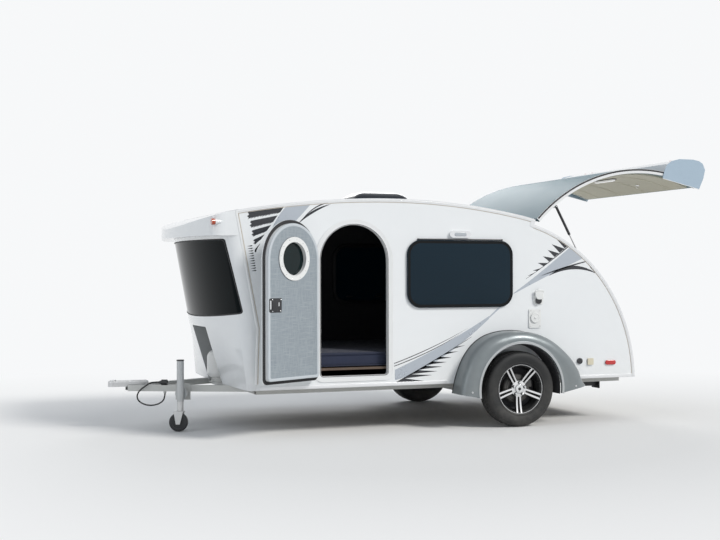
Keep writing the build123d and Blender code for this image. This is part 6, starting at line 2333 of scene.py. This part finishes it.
@dataclass
class Stage:
    """Floor, lights, backdrop and the camera, which stands where the photographer stood."""

    ground: float = GROUND
    eye: Point = (-1.493, -9.653, 0.890)
    heading: float = 20.68
    rise: float = 0.25
    roll: float = -0.12
    focal_pixels: float = 1173.0
    frame_pixels: float = 720.0
    sensor: float = 36.0
    backdrop: Colour = (0.93, 0.94, 0.95)

    def camera(self) -> None:
        """Places the camera from its heading, rise and roll, in degrees."""
        heading, rise, roll = (math.radians(a) for a in (self.heading, self.rise, self.roll))
        level = np.array([math.sin(heading), math.cos(heading), 0.0])
        side = np.array([math.cos(heading), -math.sin(heading), 0.0])
        up = np.array([0.0, 0.0, 1.0])
        ahead = level * math.cos(rise) + up * math.sin(rise)
        above = up * math.cos(rise) - level * math.sin(rise)
        right = side * math.cos(roll) + above * math.sin(roll)
        above = above * math.cos(roll) - side * math.sin(roll)
        data = bpy.data.cameras.new("camera")
        data.sensor_width = self.sensor
        data.lens = self.focal_pixels / self.frame_pixels * self.sensor
        data.clip_end = 200.0
        camera = bpy.data.objects.new("camera", data)
        place = basis(right, above, -ahead, self.eye)
        camera.matrix_world = [tuple(row) for row in place.T.tolist()]
        bpy.context.scene.collection.objects.link(camera)
        bpy.context.scene.camera = camera

    def hang(self, data: bpy.types.Light, back: Array, place: Point) -> None:
        """Puts a lamp in the scene.

        Args:
            data: the lamp.
            back: direction from what it lights to the lamp.
            place: where it stands.
        """
        back = back / np.linalg.norm(back)
        right = np.cross((0.0, 0.0, 1.0), back)
        right /= np.linalg.norm(right)
        lamp = bpy.data.objects.new(data.name, data)
        matrix = basis(right, np.cross(back, right), back, place)
        lamp.matrix_world = [tuple(row) for row in matrix.T.tolist()]
        bpy.context.scene.collection.objects.link(lamp)

    def light(self, name: str, place: Point, aim: Point, size: float, power: float, tint: Colour) -> None:
        """Adds one large soft lamp.

        Args:
            name: the lamp's name.
            place: where it stands.
            aim: the point that it faces.
            size: its side.
            power: watts.
            tint: its colour.
        """
        data = bpy.data.lights.new(name, "AREA")
        data.shape = "DISK"
        data.size = size
        data.energy = power
        data.color = tint
        self.hang(data, np.array(place) - np.array(aim), place)

    def sun(self, name: str, towards: Point, strength: float, spread: float, tint: Colour) -> None:
        """Adds the even key light.

        Args:
            name: the lamp's name.
            towards: direction from the trailer to the lamp.
            strength: watts for each square metre.
            spread: how wide the lamp looks, in degrees.
            tint: its colour.
        """
        data = bpy.data.lights.new(name, "SUN")
        data.energy = strength
        data.angle = math.radians(spread)
        data.color = tint
        self.hang(data, np.array(towards), (0.0, 0.0, 10.0))

    def shown_white(self, w: Wiring) -> Output:
        """1 for rays from the camera, from gloss and through glass, else 0."""
        path = w.node("ShaderNodeLightPath")
        either = w.maths("MAXIMUM", path.outputs["Is Camera Ray"], path.outputs["Is Glossy Ray"])
        return w.maths("MAXIMUM", either, path.outputs["Is Transmission Ray"])

    def world(self) -> None:
        """Pale backdrop with a weaker even light."""
        world = bpy.data.worlds.new("studio")
        world.use_nodes = True
        world.node_tree.nodes.clear()
        w = Wiring(world.node_tree)
        ambient = w.node("ShaderNodeBackground")
        ambient.inputs["Color"].default_value = (0.80, 0.86, 0.95, 1.0)
        ambient.inputs["Strength"].default_value = 0.45
        shown = w.node("ShaderNodeBackground")
        shown.inputs["Color"].default_value = (*self.backdrop, 1.0)
        mix = w.node("ShaderNodeMixShader")
        w.feed(mix.inputs[0], self.shown_white(w))
        w.feed(mix.inputs[1], ambient.outputs[0])
        w.feed(mix.inputs[2], shown.outputs[0])
        out = w.node("ShaderNodeOutputWorld")
        w.feed(out.inputs[0], mix.outputs[0])
        bpy.context.scene.world = world

    def floor(self) -> None:
        """Plain pale floor that takes on the backdrop's colour away from the trailer."""
        reach = 60.0
        mesh = bpy.data.meshes.new("floor")
        corners = [(-reach, -reach), (reach, -reach), (reach, reach), (-reach, reach)]
        mesh.from_pydata([(x, y, self.ground) for x, y in corners], [], [(0, 1, 2, 3)])
        floor = bpy.data.objects.new("floor", mesh)
        bpy.context.scene.collection.objects.link(floor)
        material = bpy.data.materials.new("floor")
        material.use_nodes = True
        shader = material.node_tree.nodes["Principled BSDF"]
        shader.inputs["Base Color"].default_value = (0.80, 0.80, 0.79, 1.0)
        shader.inputs["Roughness"].default_value = 0.9
        w = Wiring(material.node_tree)
        where = w.node("ShaderNodeTexCoord")
        away = w.node("ShaderNodeVectorMath", operation="DISTANCE")
        w.feed(away.inputs[0], where.outputs["Object"])
        away.inputs[1].default_value = (2.3, -0.4, self.ground)
        share = w.scale(away.outputs["Value"], 2.6, 6.5)
        backdrop = w.node("ShaderNodeEmission")
        backdrop.inputs["Color"].default_value = (*self.backdrop, 1.0)
        mix = w.node("ShaderNodeMixShader")
        w.feed(mix.inputs[0], w.maths("MULTIPLY", share, self.shown_white(w)))
        w.feed(mix.inputs[1], shader.outputs[0])
        w.feed(mix.inputs[2], backdrop.outputs[0])
        w.feed(material.node_tree.nodes["Material Output"].inputs[0], mix.outputs[0])
        mesh.materials.append(material)

    def build(self) -> None:
        """Sets up the whole studio."""
        scene = bpy.context.scene
        scene.view_settings.view_transform = "Standard"
        self.camera()
        self.world()
        self.floor()
        self.sun("key", (0.50, -0.60, 0.62), 2.3, 16.0, (1.0, 0.975, 0.94))
        self.light("rear", (5.0, 8.0, 5.0), (2.3, 0.0, 0.8), 5.0, 240.0, (1.0, 1.0, 1.0))
        self.light("front", (-7.0, -3.0, 3.5), (1.0, 0.0, 0.6), 4.0, 110.0, (0.93, 0.97, 1.0))


def dress_all() -> None:
    """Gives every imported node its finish, and some of its faces a second one."""
    wall_inside = 0.915
    jack_grip = 0.185
    black_cap = (3.770, 3.845)
    cream_block = 3.875
    dress(GELCOAT, "left_wall", "right_wall", "roof_panel", "tail_moulding")
    dress(CAP_GELCOAT, "front_cap")
    dress(TRIM, "edge_trims", "hatch_hinge")
    dress(WHITE_TRIM, "door_frames")
    dress(CAP_GLASS, "front_window")
    dress(FLOORING, "floor_panel")
    dress(FRAME_PAINT, "tongue_rails", "side_rails", "cross_members", "jack_bracket", "axle_beam",
          "stabiliser_mounts", "bottle_tray")
    dress(ZINC, "coupler", "jack_leg", "jack_fork")
    dress(JACK_PAINT, "jack_tube")
    dress(BLACK_PLASTIC, "jack_wheel", "cable_plug", "window_frames")
    dress(FENDER_SILVER, "fenders")
    dress(TINTED, "window_glass")
    dress(HATCH_SKIN, "hatch_panel")
    dress(HATCH_LINER, "hatch_liner")
    dress(RED_LENS, "tail_lamps", "red_markers")
    dress(AMBER_LENS, "cap_lamps")
    dress(WHITE_PLASTIC, "vent_base", "side_fittings")
    dress(SMOKE, "vent_lid")
    dress(CABINET, "galley_bulkhead", "bed_base", "galley_cabinets")
    dress(WORKTOP, "galley_top")
    dress(TICKING, "mattress")
    dress(BOTTLE_PAINT, "gas_bottle")
    dress(CHROME, "porch_lamps")
    dress(CABLE_JACKET, "tongue_cable")
    for word in (side.word for side in Side):
        dress(TYRE_RUBBER, f"{word}_tyre")
        dress(WHEEL_BLACK, f"{word}_rim")
        dress(DARK_IRON, f"{word}_hub")
        dress(GELCOAT, f"{word}_door")
        dress(PORT_GLASS, f"{word}_door_glass")
        dress(BLACK_PLASTIC, f"{word}_door_fittings", f"{word}_strut_tube", f"{word}_stabiliser")
        dress(STEEL, f"{word}_strut_rod")
        # The walls' inner faces take the near-black lining as painted shade inside the cabin.
        dress_part(f"{word}_wall", DARK_LINING_AND_SHADE, between(1, -wall_inside, wall_inside))
    # The roof's underside inside the cabin takes the same painted shade.
    dress_part("roof_panel", DARK_LINING_AND_SHADE, lambda centres, normals: normals[:, 2] < -0.5)
    dress_part("jack_tube", BLACK_PLASTIC, between(2, jack_grip))
    dress_part("side_fittings", BLACK_PLASTIC, between(0, *black_cap))
    dress_part("side_fittings", CREAM, between(0, cream_block))
    dress_part("hatch_panel", WHITE_TRIM, lambda centres, normals: np.abs(normals[:, 1]) > 0.9)


def main() -> None:
    """Builds the trailer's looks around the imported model."""
    logging.basicConfig(level=logging.INFO, format="%(name)s %(message)s")
    Stage().build()
    Cable().build()
    dress_all()
    Graphics().build()
    Shell().build()
    FrontCap().build()
    Fittings().build()
    Hatch().build()
    Mattress().build()
    for side in Side:
        Door(side).build()
        SideWindow(side).build()
        Wheel(side).build()
        Fender(side).build()


if __name__ == "__main__":
    main()
